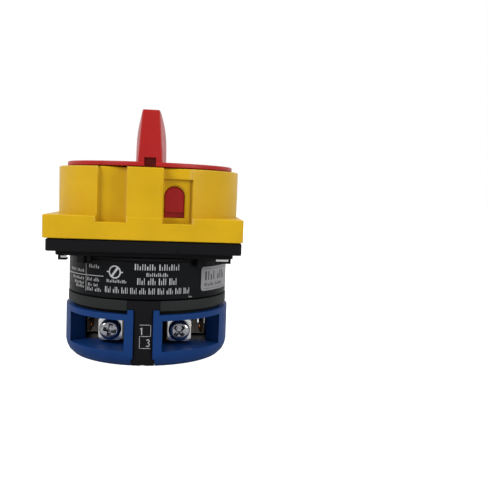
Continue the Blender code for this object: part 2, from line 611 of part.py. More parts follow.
def terminals(brass, steel):
    """Per terminal: fixed contact strap, square clamp washer and terminal screw."""
    under_head = WASHER_Y[1] + GAP
    screw = turned([(0.0, 8.8), (1.7, 8.8), (1.7, under_head), (HEAD_RADIUS, under_head),
                    (HEAD_RADIUS, under_head + 1.4), (HEAD_RADIUS - 0.6, under_head + 2.2),
                    (HEAD_RADIUS - 1.9, under_head + 2.5), (0.0, under_head + 2.6)], SMALL)
    half, cut = WASHER_HALF, WASHER_CORNER
    washer_outline = [(half, -cut), (half, cut), (cut, half), (-cut, half), (-half, cut), (-half, -cut),
                      (-cut, -half), (cut, -half)]
    arm_x = -STRAP_OUTER_X + 1.1
    order = ((-1, -1), (-1, 1), (1, -1), (1, 1))
    for number, (side_x, side_y) in enumerate(order, 1):
        pad = box((-STRAP_OUTER_X, -STRAP_FRONT_Y, 6.2), (-STRAP_INNER_X, -STRAP_BACK_Y, 14.4))
        arm = box((-STRAP_OUTER_X, -STRAP_BACK_Y - 0.5, 7.6), (arm_x, -CONTACT_Y + 2.0, 13.0))
        rivet = along_x(cylinder(TIP_RADIUS, 15.4, 16.4, 16), -1, -CONTACT_Y, TERMINAL_Z)
        flip = (-side_x, -side_y)
        strap = make_object(f"fixed_contact_{number}", [mirrored(pad, *flip)], brass)
        combine(strap, "UNION", [mirrored(arm, *flip), mirrored(rivet, *flip)])
        combine(strap, "DIFFERENCE", [mirrored(terminal_hole(13.0, 16.0), *flip)])
        plate = mirrored(along_y(prism(washer_outline, *WASHER_Y), -TERMINAL_X, TERMINAL_Z), *flip)
        washer = make_object(f"clamp_washer_{number}", [plate], steel)
        combine(washer, "DIFFERENCE", [mirrored(terminal_hole(14.0, 18.0), *flip)])
        body = mirrored(along_y(screw, -TERMINAL_X, TERMINAL_Z), *flip)
        make_object(f"terminal_screw_{number}", [body], steel)


def contact_carriers(nylon, brass, steel):
    """Per side: plunger that follows the cam, moving bridge through it, and its spring."""
    for side, name in ((-1, "left"), (1, "right")):
        middle = sum(PLUNGER_Z) / 2.0
        nose = arc(PLUNGER_HALF, 90.0, 270.0, 10, (CAM_HIGH + GAP + PLUNGER_HALF, 0.0))
        outline = [(side * x, y) for x, y in nose + [(21.2, -PLUNGER_HALF), (21.2, PLUNGER_HALF)]]
        plunger = make_object(f"plunger_{name}", [prism(outline, *PLUNGER_Z)], nylon, (side * 15.0, 0.0, middle))
        low_x, high_x = sorted((side * (BRIDGE_X[0] - GAP), side * (BRIDGE_X[1] + GAP)))
        combine(plunger, "DIFFERENCE", [box((low_x, -4.0, 8.0), (high_x, 4.0, 12.5))])
        low_x, high_x = sorted((side * BRIDGE_X[0], side * BRIDGE_X[1]))
        bar = box((low_x, -BRIDGE_HALF_LENGTH, 8.0 + GAP), (high_x, BRIDGE_HALF_LENGTH, 12.5 - GAP))
        bridge = make_object(f"bridge_{name}", [bar], brass, (side * 15.0, 0.0, middle))
        tips = [along_x(cylinder(TIP_RADIUS, BRIDGE_X[0] - 0.5, BRIDGE_X[0] + 0.5, 16), side, y, TERMINAL_Z)
                for y in (-CONTACT_Y, CONTACT_Y)]
        combine(bridge, "UNION", tips)
        spring = shifted(coil(2.0, SPRING_WIRE, side * 21.9, side * 24.3, 2), z=middle)
        make_object(f"contact_spring_{name}", [spring], steel)


# ---------------------------------------------------------------- shaft, cam and stack bolts

def shaft(material):
    """Square steel shaft from the back bearing to the knob, drilled for the knob's screw."""
    item = make_object("shaft", [box((-SHAFT_HALF, -SHAFT_HALF, SHAFT_BOTTOM), (SHAFT_HALF, SHAFT_HALF, SHAFT_TOP))],
                       material)
    return combine(item, "DIFFERENCE", [cylinder(BOLT_RADIUS + GAP, 60.0, SHAFT_TOP + 1.0)])


def cam_radius(angle):
    """Two equal lobes: the radius falls steadily over 90 degrees and rises over the next 90."""
    part = (angle % 180.0) / 90.0
    fall = part if part <= 1.0 else 2.0 - part
    return CAM_HIGH - (CAM_HIGH - CAM_LOW) * fall


def cam(material):
    """Cam that pushes both plungers outwards when the switch is off."""
    steps = 48
    outline = []
    for i in range(steps):
        angle = 360.0 * i / steps
        radius = cam_radius(angle)
        outline.append((radius * math.cos(math.radians(angle)), radius * math.sin(math.radians(angle))))
    item = make_object("cam", [prism(outline, 3.0, 15.6)], material)
    return combine(item, "DIFFERENCE", [square_bore(2.0, 17.0)])


def stack_bolts(material):
    """Two long bolts through the columns hold the whole stack to the base, each with a nut."""
    bolt = turned([(0.0, 0.6), (BOLT_HEAD - 0.5, 0.6), (BOLT_HEAD, 1.1), (BOLT_HEAD, 2.7), (BOLT_RADIUS, 2.7),
                   (BOLT_RADIUS, BASE_TOP - 0.2), (0.0, BASE_TOP - 0.2)], SMALL)
    nut_blank = prism(arc(3.1, 0.0, 360.0, 6)[:-1], 39.8, 41.6)
    for side, name in ((-1, "front"), (1, "rear")):
        make_object(f"stack_bolt_{name}", [shifted(bolt, y=side * BOLT_Y)], material)
        item = make_object(f"bolt_nut_{name}", [shifted(nut_blank, y=side * BOLT_Y)], material)
        combine(item, "DIFFERENCE", [shifted(cylinder(BOLT_RADIUS + GAP, 39.0, 42.5), y=side * BOLT_Y)])


def build():
    clear_scene()
    red = make_material("red_plastic", (0.52, 0.02, 0.018), 0.38)
    yellow = make_material("yellow_plastic", (0.62, 0.36, 0.012), 0.4)
    black = make_material("black_plastic", (0.014, 0.014, 0.015), 0.5)
    dark = make_material("dark_plastic", (0.028, 0.028, 0.027), 0.55)
    blue = make_material("blue_plastic", (0.02, 0.062, 0.21), 0.42)
    nylon = make_material("white_nylon", (0.66, 0.64, 0.58), 0.5)
    steel = make_material("zinc_steel", (0.56, 0.57, 0.58), 0.28, 1.0)
    brass = make_material("contact_brass", (0.7, 0.47, 0.2), 0.3, 1.0)
    label = make_material("label_film", (0.012, 0.013, 0.016), 0.3)
    paper = make_material("sticker_film", (0.6, 0.6, 0.62), 0.35)
    rubber = make_material("seal_rubber", (0.012, 0.012, 0.012), 0.8)

    red_handle(red)
    handle_fasteners(steel, red)
    lock_housing(yellow)
    lock_tongue(red)
    mount_base(black)
    base_fittings(steel, rubber, nylon)
    detent_housing(black)
    name_label(label)
    rating_sticker(paper)
    detent_parts(nylon, steel)
    cover_plate(dark)
    contact_block(black)
    end_cover(black)
    terminal_shroud("terminal_shroud_left", -1, blue)
    terminal_shroud("terminal_shroud_right", 1, blue)
    terminals(brass, steel)
    contact_carriers(nylon, brass, steel)
    shaft(steel)
    cam(nylon)
    stack_bolts(steel)


build()
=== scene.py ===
from math import asin, atan, copysign, cos, degrees, hypot, radians, sin, sqrt

import bmesh
import bpy
from mathutils import Matrix, Vector


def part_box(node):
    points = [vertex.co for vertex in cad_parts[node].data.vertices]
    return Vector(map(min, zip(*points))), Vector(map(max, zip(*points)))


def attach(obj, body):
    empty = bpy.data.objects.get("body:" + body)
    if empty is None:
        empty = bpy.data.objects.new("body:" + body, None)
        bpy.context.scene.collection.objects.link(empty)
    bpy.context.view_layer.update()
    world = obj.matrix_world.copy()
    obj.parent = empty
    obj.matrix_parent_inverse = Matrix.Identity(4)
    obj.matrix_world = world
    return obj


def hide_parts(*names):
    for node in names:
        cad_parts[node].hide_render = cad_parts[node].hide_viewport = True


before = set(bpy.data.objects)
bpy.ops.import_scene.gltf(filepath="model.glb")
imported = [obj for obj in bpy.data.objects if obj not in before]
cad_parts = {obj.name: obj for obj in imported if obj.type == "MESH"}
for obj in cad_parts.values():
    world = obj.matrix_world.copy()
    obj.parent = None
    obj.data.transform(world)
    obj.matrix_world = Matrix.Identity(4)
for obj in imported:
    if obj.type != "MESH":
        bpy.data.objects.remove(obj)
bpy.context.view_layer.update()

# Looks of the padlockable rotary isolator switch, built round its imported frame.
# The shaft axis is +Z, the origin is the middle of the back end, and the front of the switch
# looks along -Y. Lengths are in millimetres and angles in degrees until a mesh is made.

MM = 0.001
SHARP_ANGLE = 38.0           # edges sharper than this stay crisp or get a soft edge
ROUND = 144                  # segments of a large turned face
LARGE, MEDIUM, SMALL = 64, 48, 32   # segments of chambers and hubs, of passages, and of screws


def box_mm(node):
    """Lowest and highest corner of a CAD node, in millimetres."""
    low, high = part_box(node)
    return low / MM, high / MM


# ---------------- sizes that the frame gives

HOUSING_LOW, HOUSING_HIGH = box_mm("lock_housing")
KNOB_LOW, KNOB_HIGH = box_mm("red_handle")
BASE_HIGH = box_mm("mount_base")[1]
DETENT_LOW, DETENT_HIGH = box_mm("detent_housing")
LABEL_LOW, LABEL_HIGH = box_mm("name_label")
COVER_LOW, COVER_HIGH = box_mm("cover_plate")
SHROUD_HIGH = box_mm("terminal_shroud_left")[1]
BLOCK_HIGH = box_mm("contact_block")[1]

# knob
DISC_BOTTOM, DISC_TOP = HOUSING_HIGH.z + 0.3, HOUSING_HIGH.z + 1.8
DISC_RADIUS = KNOB_HIGH.x
GRIP_HALF_LENGTH = 27.5
GRIP_PLAY = 2.0              # the knob is turned this little off square
GRIP_END_HALF = (3.95, 2.75)  # half width of the end face, at the disc and at the top
GRIP_MID_HALF = (5.35, 3.5)  # half width in the middle of its length
GRIP_BULGE = 3.5             # how late the middle narrows towards the top
KNOB_PLAY = 0.25             # the knob stands this far to the right of its shaft
NOTCH_HALF, NOTCH_TOP, NOTCH_END = 1.9, 69.0, -24.4
SHAFT_BORE_HALF = 3.3
KNOB_SCREW_HOLE, KNOB_SCREW_POCKET, PLUG_RADIUS = 1.8, 3.2, 2.9
HUB_RADIUS = 7.8

# lock housing
FLANGE_HALF = HOUSING_HIGH.x
FLANGE_CORNER = 1.4
FLANGE_TOP = 49.8
RING_RADIUS = FLANGE_HALF - 0.04
RING_BORE = 25.2
RING_TOP_WALL = 2.0
RECESS_X = (5.8, 15.3)
RECESS_BOTTOM = 47.9
RECESS_FLOOR = 26.4
LINTEL_BOTTOM, LINTEL_FLOOR = 62.2, 27.5
WINDOW_X = (5.95, 12.7)
WINDOW_Z = (49.6, 59.95)
GAP = 0.1                    # clearance between neighbours
TONGUE_FRONT, TONGUE_BACK = -25.4, -7.0

# base plate
BASE_TOP, BASE_BOTTOM, STEP_BOTTOM = BASE_HIGH.z, 38.1, 36.6
BASE_HALF, STEP_HALF = BASE_HIGH.x - 0.15, 28.9
SCREW_SPREAD = 24.0          # base screws stand on a square, this far from the axis each way
SCREW_HOLE, SCREW_POCKET = 2.0, 3.7
BOLT_Y = 24.0
BOLT_HOLE, NUT_POCKET, BOLT_SINK = 1.8, 3.5, 2.7   # radii
LUG_INNER, LUG_BOTTOM = 29.15, 33.4
HOOKS_X = ((-27.7, -24.8), (28.1, 22.9))     # leg and toe of the left and the right hooks
HOOK_Y = (26.3, 28.4)
HOOK_TOE_Z = (35.1, 35.8)

# switch body
SHAFT_PASSAGE = 6.5          # hole for the shaft through housing, cover and section
COLLAR_BOTTOM = 35.2
HOUSING_RADIUS = 27.9
LABEL_RADIUS = 28.35
STICKER_RADIUS = 28.65
STICKER_ANGLES = (41.0, 77.0)
STICKER_Z = (24.8, 33.0)
STICKER_CORNER, STICKER_CORNER_ANGLE = 1.0, 2.0
PRINT_LIFT = (0.01, 0.04)    # ink lies this far above its surface
TICK_WIDTHS = (0.5, 0.3, 0.42, 0.3, 0.36)
TICK_HEIGHTS = (1.0, 1.0, 0.62)
# rows of print: start and end angle, height of the middle, height, groups of ticks, ticks in a group
LABEL_ROWS = ((-6.8, 23.8, 33.3, 2.0, 2, 9), (1.1, 15.9, 30.85, 1.2, 1, 12),
              (-4.9, 22.0, 28.6, 2.2, 4, 4), (-27.4, 31.6, 25.4, 2.0, 10, 4),
              (-26.2, -11.6, 28.3, 1.0, 1, 12), (-41.5, -32.0, 32.6, 1.2, 1, 6),
              (-43.2, -31.8, 28.2, 1.2, 2, 4), (-42.4, -33.0, 26.4, 1.0, 2, 3),
              (-43.0, -30.0, 24.9, 1.2, 2, 4), (-66.3, -46.5, 30.6, 1.0, 2, 5),
              (-62.5, -46.5, 28.0, 0.9, 1, 8), (-59.5, -46.5, 26.5, 0.9, 1, 7),
              (-57.0, -46.5, 25.3, 0.9, 1, 6), (31.0, 33.8, 23.3, 0.5, 1, 3))
STICKER_ROWS = ((44.0, 70.0, 29.9, 3.0, 2, 4), (44.0, 66.0, 26.9, 1.1, 2, 6))
NUMBER_STROKES = {1: (((-0.35, 0.55), (0.15, 1.0), (0.15, -1.0)),),
                  2: (((-0.6, 0.6), (-0.2, 1.0), (0.4, 0.9), (0.5, 0.3), (-0.6, -1.0), (0.65, -1.0)),),
                  3: (((-0.5, 0.8), (0.1, 1.0), (0.5, 0.55), (0.0, 0.08), (0.55, -0.4), (0.1, -1.0),
                       (-0.55, -0.8)),),
                  4: (((0.3, -1.0), (0.3, 1.0), (-0.65, -0.35), (0.75, -0.35)),)}
COVER_RADIUS = COVER_HIGH.x
COVER_CORE = 27.1
COVER_NOTCH_HALF = 5.4
SHROUD_RADIUS, SHROUD_BORE = 29.2, 26.9
SHROUD_EDGE_X = 3.25
SHROUD_HEEL_X, SHROUD_HEEL_Z = 3.9, 2.7   # its lower corner makes room for the column's foot
SHROUD_STEP = 0.9            # its wall stops this far below its top
SHROUD_TAB = 19.1            # and a tab beside each column stands up into the cover's notch
STACK_PLAY = 0.3             # all below the lock housing sits this far to the right
SHROUD_WINDOW_X = (6.2, 25.8)
SHROUD_WINDOW_Z = (5.2, 15.6)
COLUMN_HALF, COLUMN_FOOT_HALF, COLUMN_RADIUS = 3.17, 3.8, 28.4
TERMINAL_X, TERMINAL_Z = 11.8, 10.3
TERMINAL_HOLE, CONTACT_Y = 2.0, 9.6
CAM_CHAMBER, CLICK_CHAMBER = 9.2, 12.0

# camera: place, turn to the right, upward tilt and roll, and lens in millimetres
CAMERA_PLACE = (12.16, -240.59, 59.21)
CAMERA_YAW, CAMERA_PITCH, CAMERA_ROLL = 5.493, -4.647, 2.107
CAMERA_LENS = 47.85
# light: glow of the floor, of the surround in front, behind and above, and lamps (name, place, size, W)
FLOOR_GLOW = 0.9
FRONT_LIGHT, BACK_LIGHT, TOP_LIGHT = 0.42, 0.9, 0.35
LAMPS = (("key", (-440.0, -390.0, 400.0), 300.0, 3.1), ("fill", (520.0, -360.0, 260.0), 300.0, 2.0))


# ---------------- solids as (points, faces)

def arc(radius, start, stop, steps, centre=(0.0, 0.0)):
    """Points on a circle between two angles, both ends included."""
    angles = [radians(start + (stop - start) * i / steps) for i in range(steps + 1)]
    return [(centre[0] + radius * cos(a), centre[1] + radius * sin(a)) for a in angles]


def fillet(radius, steps=4):
    """Pairs (inset from the wall, drop below the edge) of a quarter round, from the wall to the face."""
    angles = [radians(90.0 * i / steps) for i in range(steps + 1)]
    return [(radius * (1.0 - cos(a)), radius * (1.0 - sin(a))) for a in angles]


def lower_edge(radius, z, size):
    """Profile of a rounded lower edge, from the face to the wall."""
    return [(radius - inset, z + rise) for inset, rise in reversed(fillet(size))]


def upper_edge(radius, z, size):
    """Profile of a rounded upper edge, from the wall to the face."""
    return [(radius - inset, z - drop) for inset, drop in fillet(size)]


def loft(sections, closed=False):
    """Skin over sections with equally many points: capped at both ends, or closed on itself."""
    count = len(sections[0])
    points = [point for section in sections for point in section]
    pairs = list(zip(range(len(sections) - 1), range(1, len(sections))))
    if closed:
        pairs.append((len(sections) - 1, 0))
    faces = []
    for low, high in pairs:
        for i in range(count):
            j = (i + 1) % count
            faces.append((low * count + i, low * count + j, high * count + j, high * count + i))
    if not closed:
        faces += [tuple(range(count)), tuple(range((len(sections) - 1) * count, len(points)))]
    return points, faces


def prism(outline, z_low, z_high):
    return loft([[(x, y, z) for x, y in outline] for z in (z_low, z_high)])


def block(low, high):
    (x, y, z_low), (far_x, far_y, z_high) = low, high
    return prism([(x, y), (far_x, y), (far_x, far_y), (x, far_y)], z_low, z_high)


def block_between(first, second):
    """A block between any two opposite corners."""
    return block(*zip(*[sorted(pair) for pair in zip(first, second)]))


def cylinder(radius, z_low, z_high, segments=SMALL):
    return prism(arc(radius, 0.0, 360.0, segments)[:-1], z_low, z_high)


def rounded_square(half, corner, steps=6):
    inner = half - corner
    outline = []
    for quarter, (x, y) in enumerate(((1, 1), (-1, 1), (-1, -1), (1, -1))):
        outline += arc(corner, 90.0 * quarter, 90.0 * quarter + 90.0, steps, (x * inner, y * inner))
    return outline


def soft_plate(half, corner, z_low, z_high, edge=0.25):
    """A square plate with round corners and rounded rims."""
    levels = [(inset, z_low + rise) for inset, rise in reversed(fillet(edge))]
    levels += [(inset, z_high - drop) for inset, drop in fillet(edge)]
    return loft([[(x, y, z) for x, y in rounded_square(half - inset, corner - inset)]
                 for inset, z in levels])


def turned(profile, segments=ROUND):
    """A profile of (radius, height) turned about z; it closes on itself unless it ends on the axis."""
    rings = [point for point in profile if point[0] > 0.0]
    sections = [[(x, y, z) for x, y in arc(r, 0.0, 360.0, segments)[:-1]] for r, z in rings]
    return loft(sections, closed=profile[0][0] > 0.0)


def band(radii, columns):
    """A curved strip between two radii; each column is (angle from the front, lowest z, highest z)."""
    sections = []
    for angle, z_low, z_high in columns:
        a = radians(angle)
        corners = ((radii[0], z_low), (radii[1], z_low), (radii[1], z_high), (radii[0], z_high))
        sections.append([(r * sin(a), -r * cos(a), z) for r, z in corners])
    return loft(sections)


def moved(solid, matrix):
    return [tuple(matrix @ Vector(p)) for p in solid[0]], solid[1]


def shifted(solid, x=0.0, y=0.0, z=0.0):
    return moved(solid, Matrix.Translation((x, y, z)))


def turned_to(solid, angle):
    return moved(solid, Matrix.Rotation(radians(angle), 4, "Z"))


def along_y(solid, x, z):
    """A solid made about +Z, laid over to point to the front, with its axis at x and z."""
    return shifted(moved(solid, Matrix.Rotation(radians(90.0), 4, "X")), x=x, z=z)


def along_x(solid, side, y, z):
    """A solid made about +Z, laid over to point along +X or -X."""
    return shifted(moved(solid, Matrix.Rotation(radians(90.0 * side), 4, "Y")), y=y, z=z)


def mirrored(solid, side_x=1, side_y=1):
    return [(p[0] * side_x, p[1] * side_y, p[2]) for p in solid[0]], solid[1]


# ---------------- meshes and pieces

def work_mesh(solids):
    """A bmesh in metres, with every solid's faces looking outwards."""
    work = bmesh.new()
    for points, faces in solids:
        corners = [work.verts.new([value * MM for value in p]) for p in points]
        for face in faces:
            work.faces.new([corners[i] for i in face])
    bmesh.ops.recalc_face_normals(work, faces=work.faces)
    return work


def round_edges(work, width, segments=2, chosen=None):
    """Rounds the edges that are sharper than SHARP_ANGLE, or those of them that chosen() picks."""
    limit = radians(SHARP_ANGLE)
    edges = [e for e in work.edges if len(e.link_faces) == 2 and e.calc_face_angle() > limit]
    if chosen:
        edges = [e for e in edges if chosen((e.verts[0].co + e.verts[1].co) / (2.0 * MM))]
    bmesh.ops.bevel(work, geom=edges, offset=width * MM, segments=segments, profile=0.5, affect="EDGES",
                    clamp_overlap=True)


def softened(solid, width=0.25, segments=2):
    """The solid with its sharp edges rounded."""
    work = work_mesh([solid])
    round_edges(work, width, segments)
    work.verts.index_update()
    points = [tuple(v.co / MM) for v in work.verts]
    faces = [tuple(v.index for v in face.verts) for face in work.faces]
    work.free()
    return points, faces


def new_object(name, solids):
    mesh = bpy.data.meshes.new(name)
    work = work_mesh(solids)
    work.to_mesh(mesh)
    work.free()
    item = bpy.data.objects.new(name, mesh)
    bpy.context.scene.collection.objects.link(item)
    return item


def combine(item, operation, solids):
    """Adds (UNION), cuts (DIFFERENCE) or keeps the inside (INTERSECT), one solid at a time."""
    for solid in solids:
        tool = new_object("tool", [solid])
        change = item.modifiers.new("combine", "BOOLEAN")
        change.operation = operation
        change.solver = "EXACT"
        change.object = tool
        bpy.context.view_layer.update()
        graph = bpy.context.evaluated_depsgraph_get()
        shape = bpy.data.meshes.new_from_object(item.evaluated_get(graph))
        item.modifiers.clear()
        item.data = shape
        bpy.data.objects.remove(tool, do_unlink=True)
    return item


def join(item, *solids):
    return combine(item, "UNION", solids)


def cut(item, *solids):
    return combine(item, "DIFFERENCE", solids)


def soften(item, width, segments=2, chosen=None):
    """Rounds an object's own sharp edges after slivers are merged."""
    work = bmesh.new()
    work.from_mesh(item.data)
    bmesh.ops.remove_doubles(work, verts=work.verts, dist=0.02 * MM)
    round_edges(work, width, segments, chosen)
    work.to_mesh(item.data)
    work.free()
    return item


def push_right(item, distance):
    item.data.transform(Matrix.Translation((distance * MM, 0.0, 0.0)))


def finish(item, material, body, slot, *nodes):
    """Play, shading, material and body of a piece, and the CAD nodes that it stands for; the slot only
    decides the play.
    """
    if slot not in ("red_plastic", "yellow_plastic"):
        push_right(item, STACK_PLAY)
    item.data.materials.clear()
    item.data.materials.append(material)
    item.data.shade_smooth()
    item.data.set_sharp_from_angle(angle=radians(SHARP_ANGLE))
    weighting = item.modifiers.new("face_weighted_normals", "WEIGHTED_NORMAL")
    weighting.keep_sharp = True
    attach(item, body)
    if nodes:
        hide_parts(*nodes)
    return item


# ---------------- material nodes

def add_node(tree, kind, **inputs):
    """A shader node with its input sockets set by name; a socket of another node is linked."""
    node = tree.nodes.new(kind)
    for name, value in inputs.items():
        socket = node.inputs[name.replace("_", " ")]
        if isinstance(value, bpy.types.NodeSocket):
            tree.links.new(value, socket)
        else:
            socket.default_value = value
    return node


def new_material(name, colour, roughness, metallic=0.0):
    material = bpy.data.materials.new(name)
    material.use_nodes = True
    shader = material.node_tree.nodes["Principled BSDF"]
    shader.inputs["Base Color"].default_value = (*colour, 1.0)
    shader.inputs["Roughness"].default_value = roughness
    shader.inputs["Metallic"].default_value = metallic
    material.diffuse_color = (*colour, 1.0)
    return material, material.node_tree, shader


def noise(tree, per_mm, detail=3.0, roughness=0.5):
    """Noise over the piece's own millimetres."""
    place = add_node(tree, "ShaderNodeTexCoord")
    return add_node(tree, "ShaderNodeTexNoise", Vector=place.outputs["Object"], Scale=per_mm / MM,
                    Detail=detail, Roughness=roughness)


def spread(tree, value, low, high, from_low=0.3, from_high=0.7):
    """A noise value stretched to a range."""
    node = add_node(tree, "ShaderNodeMapRange", Value=value)
    node.inputs["From Min"].default_value = from_low
    node.inputs["From Max"].default_value = from_high
    node.inputs["To Min"].default_value = low
    node.inputs["To Max"].default_value = high
    return node.outputs["Result"]


def two_tone(tree, factor, dark, light):
    """Colour between two tones."""
    node = tree.nodes.new("ShaderNodeMix")
    node.data_type = "RGBA"
    tree.links.new(factor, node.inputs["Factor"])
    node.inputs[6].default_value = (*dark, 1.0)
    node.inputs[7].default_value = (*light, 1.0)
    return node.outputs[2]


def scaled(colour, share):
    return tuple(min(1.0, channel * share) for channel in colour)


def plastic(name, colour, roughness, grain=0.05, tone=0.06, gloss_spread=0.07, shine=0.5, edge_highlight=0.0):
    """Moulded plastic: soft cloudy tone, fine moulded grain, patches of polish from handling, and when
    asked a painted highlight on sharp edges.
    """
    material, tree, shader = new_material(name, colour, roughness)
    shader.inputs["Specular IOR Level"].default_value = shine
    clouds = noise(tree, 0.09, 4.0)
    tones = two_tone(tree, spread(tree, clouds.outputs["Fac"], 0.0, 1.0), scaled(colour, 1.0 - tone),
                     scaled(colour, 1.0 + tone))
    # painted highlight: sharp edges, found by pointiness, are painted paler to stand in for the light
    # their small fillets catch
    if edge_highlight:
        edges = add_node(tree, "ShaderNodeNewGeometry")
        highlight_mask = spread(tree, edges.outputs["Pointiness"], 0.0, edge_highlight, 0.53, 0.6)
        highlight_colour = tuple(channel + (1.0 - channel) * 0.3 for channel in colour)
        highlit = two_tone(tree, highlight_mask, colour, highlight_colour)
        tree.links.new(tones, highlit.node.inputs[6])
        tones = highlit
    tree.links.new(tones, shader.inputs["Base Color"])
    polish = noise(tree, 0.35, 5.0, 0.6)
    gloss = spread(tree, polish.outputs["Fac"], roughness - gloss_spread, roughness + gloss_spread)
    tree.links.new(gloss, shader.inputs["Roughness"])
    fine = noise(tree, 7.0, 2.0)
    wave = noise(tree, 0.12, 1.0)
    swell = add_node(tree, "ShaderNodeBump", Strength=0.12, Distance=0.2 * MM,
                     Height=wave.outputs["Fac"])
    bump = add_node(tree, "ShaderNodeBump", Strength=grain, Distance=0.05 * MM,
                    Height=fine.outputs["Fac"], Normal=swell.outputs["Normal"])
    tree.links.new(bump.outputs["Normal"], shader.inputs["Normal"])
    return material


def metal(name, colour, roughness, scratch=0.03):
    """Plated or plain metal: uneven shine and fine tumbling marks."""
    material, tree, shader = new_material(name, colour, roughness, 1.0)
    patches = noise(tree, 0.25, 3.0, 0.5)
    tree.links.new(spread(tree, patches.outputs["Fac"], roughness - 0.04, roughness + 0.06),
                   shader.inputs["Roughness"])
    stains = noise(tree, 0.5, 5.0)
    tones = two_tone(tree, spread(tree, stains.outputs["Fac"], 0.0, 1.0), scaled(colour, 0.92),
                     scaled(colour, 1.06))
    tree.links.new(tones, shader.inputs["Base Color"])
    marks = noise(tree, 5.0, 3.0, 0.6)
    bump = add_node(tree, "ShaderNodeBump", Strength=scratch, Distance=0.05 * MM,
                    Height=marks.outputs["Fac"])
    tree.links.new(bump.outputs["Normal"], shader.inputs["Normal"])
    return material


# ---------------- knob

def grip_half(y, z):
    """Half width of the grip: flat tapering ends, and a middle that narrows late."""
    rise = min(1.0, max(0.0, (z - DISC_TOP) / (KNOB_HIGH.z - DISC_TOP)))
    end = GRIP_END_HALF[0] + (GRIP_END_HALF[1] - GRIP_END_HALF[0]) * rise
    middle = GRIP_MID_HALF[0] + (GRIP_MID_HALF[1] - GRIP_MID_HALF[0]) * rise ** GRIP_BULGE
    return end + (middle - end) * (1.0 - (y / GRIP_HALF_LENGTH) ** 2)


def grip_outline(z, inset, corner=0.45, stations=28):
    """Plan of the grip at one height, with rounded upright edges."""
    reach = GRIP_HALF_LENGTH - inset - corner
    places = [reach * (2.0 * i / stations - 1.0) for i in range(stations + 1)]
    side = [(grip_half(y, z) - inset, y) for y in places]
    end_half = side[-1][0]
    turn = arc(corner, 0.0, 90.0, 4, (end_half - corner, reach))[1:]
    right = [(x, -y) for x, y in reversed(turn)] + side + turn
    return right + [(-x, y) for x, y in reversed(right)]


def knob(material):
    """Red knob: thin disc, long grip with soft edges, and the hub that takes the square shaft."""
    rim = lower_edge(DISC_RADIUS, DISC_BOTTOM, 0.3) + upper_edge(DISC_RADIUS, DISC_TOP, 0.4)
    item = new_object("knob", [turned([(0.0, DISC_BOTTOM)] + rim + [(0.0, DISC_TOP)])])
    top = KNOB_HIGH.z
    heights = [DISC_TOP - 0.6, DISC_TOP] + [DISC_TOP + 1.3 * i for i in range(1, 13)]
    sections = [[(x, y, z) for x, y in grip_outline(z, 0.0)] for z in heights]
    sections += [[(x, y, top - drop) for x, y in grip_outline(top - drop, inset)]
                 for inset, drop in fillet(0.4, 5)]
    hub = cylinder(HUB_RADIUS, KNOB_LOW.z, DISC_BOTTOM + 0.6, LARGE)
    join(item, turned_to(loft(sections), GRIP_PLAY), hub)
    notch = block((-NOTCH_HALF, -DISC_RADIUS - 1.0, DISC_BOTTOM - 1.0),
                  (NOTCH_HALF, NOTCH_END, NOTCH_TOP))
    bore = block((-SHAFT_BORE_HALF, -SHAFT_BORE_HALF, KNOB_LOW.z - 1.0),
                 (SHAFT_BORE_HALF, SHAFT_BORE_HALF, 70.5))
    cut(item, turned_to(notch, GRIP_PLAY), bore, cylinder(KNOB_SCREW_HOLE, 70.0, 76.0),
        cylinder(KNOB_SCREW_POCKET, 75.0, top + 1.0))
    push_right(item, KNOB_PLAY)
    finish(item, material, "rotor", "red_plastic", "red_handle")
    plug = [(0.0, top - 2.7), (PLUG_RADIUS, top - 2.7)] + upper_edge(PLUG_RADIUS, top - 0.1, 0.3)
    cap = new_object("knob_plug", [turned(plug + [(0.0, top - 0.1)], SMALL)])
    push_right(cap, KNOB_PLAY)
    finish(cap, material, "rotor", "red_plastic", "handle_plug")


# ---------------- lock housing

def square_reach(angle, half, corner):
    """Distance from the middle to the edge of a round-cornered square, along an angle."""
    along, across = sorted((abs(sin(angle)), abs(cos(angle))), reverse=True)
    inner = half - corner
    if across * half / along <= inner:
        return half / along
    middle = (along + across) * inner
    return middle + sqrt(middle ** 2 - 2.0 * inner ** 2 + corner ** 2)


def pocket_outline(pocket, surface, floor, edge=0.35):
    """Plan of a recess: rounded outer edges, straight walls, small radii at the flat floor."""
    left, right = pocket
    side = []
    for x, inward in ((left, 1.0), (right, -1.0)):
        depth = max(0.04, -floor - surface(x))
        outer, inner = min(edge, 0.45 * depth), min(0.3, 0.45 * depth)
        start = surface(x - inward * outer)
        half = [(x - inward * (outer - outer * sin(radians(t))),
                 start + (surface(x) + outer - start) * (1.0 - cos(radians(t))))
                for t in range(0, 91, 18)]
        half += [(x + inward * inner * (1.0 - cos(radians(t))),
                  -floor - inner * (1.0 - sin(radians(t)))) for t in range(0, 91, 30)]
        side.append(half)
    start, stop = side[0][-1][0], side[1][-1][0]
    across = [(start + (stop - start) * i / 6, -floor) for i in range(1, 6)]
    return side[0] + across + side[1][::-1]


POCKETS = ((-RECESS_X[1], -RECESS_X[0]), RECESS_X)
POCKET_COLUMNS = len(pocket_outline(RECESS_X, lambda x: -FLANGE_HALF, RECESS_FLOOR))


def spaced(start, stop, step):
    """Evenly spaced values from start up to, but not including, stop."""
    count = max(1, round(abs(stop - start) / step))
    return [start + (stop - start) * i / count for i in range(count)]


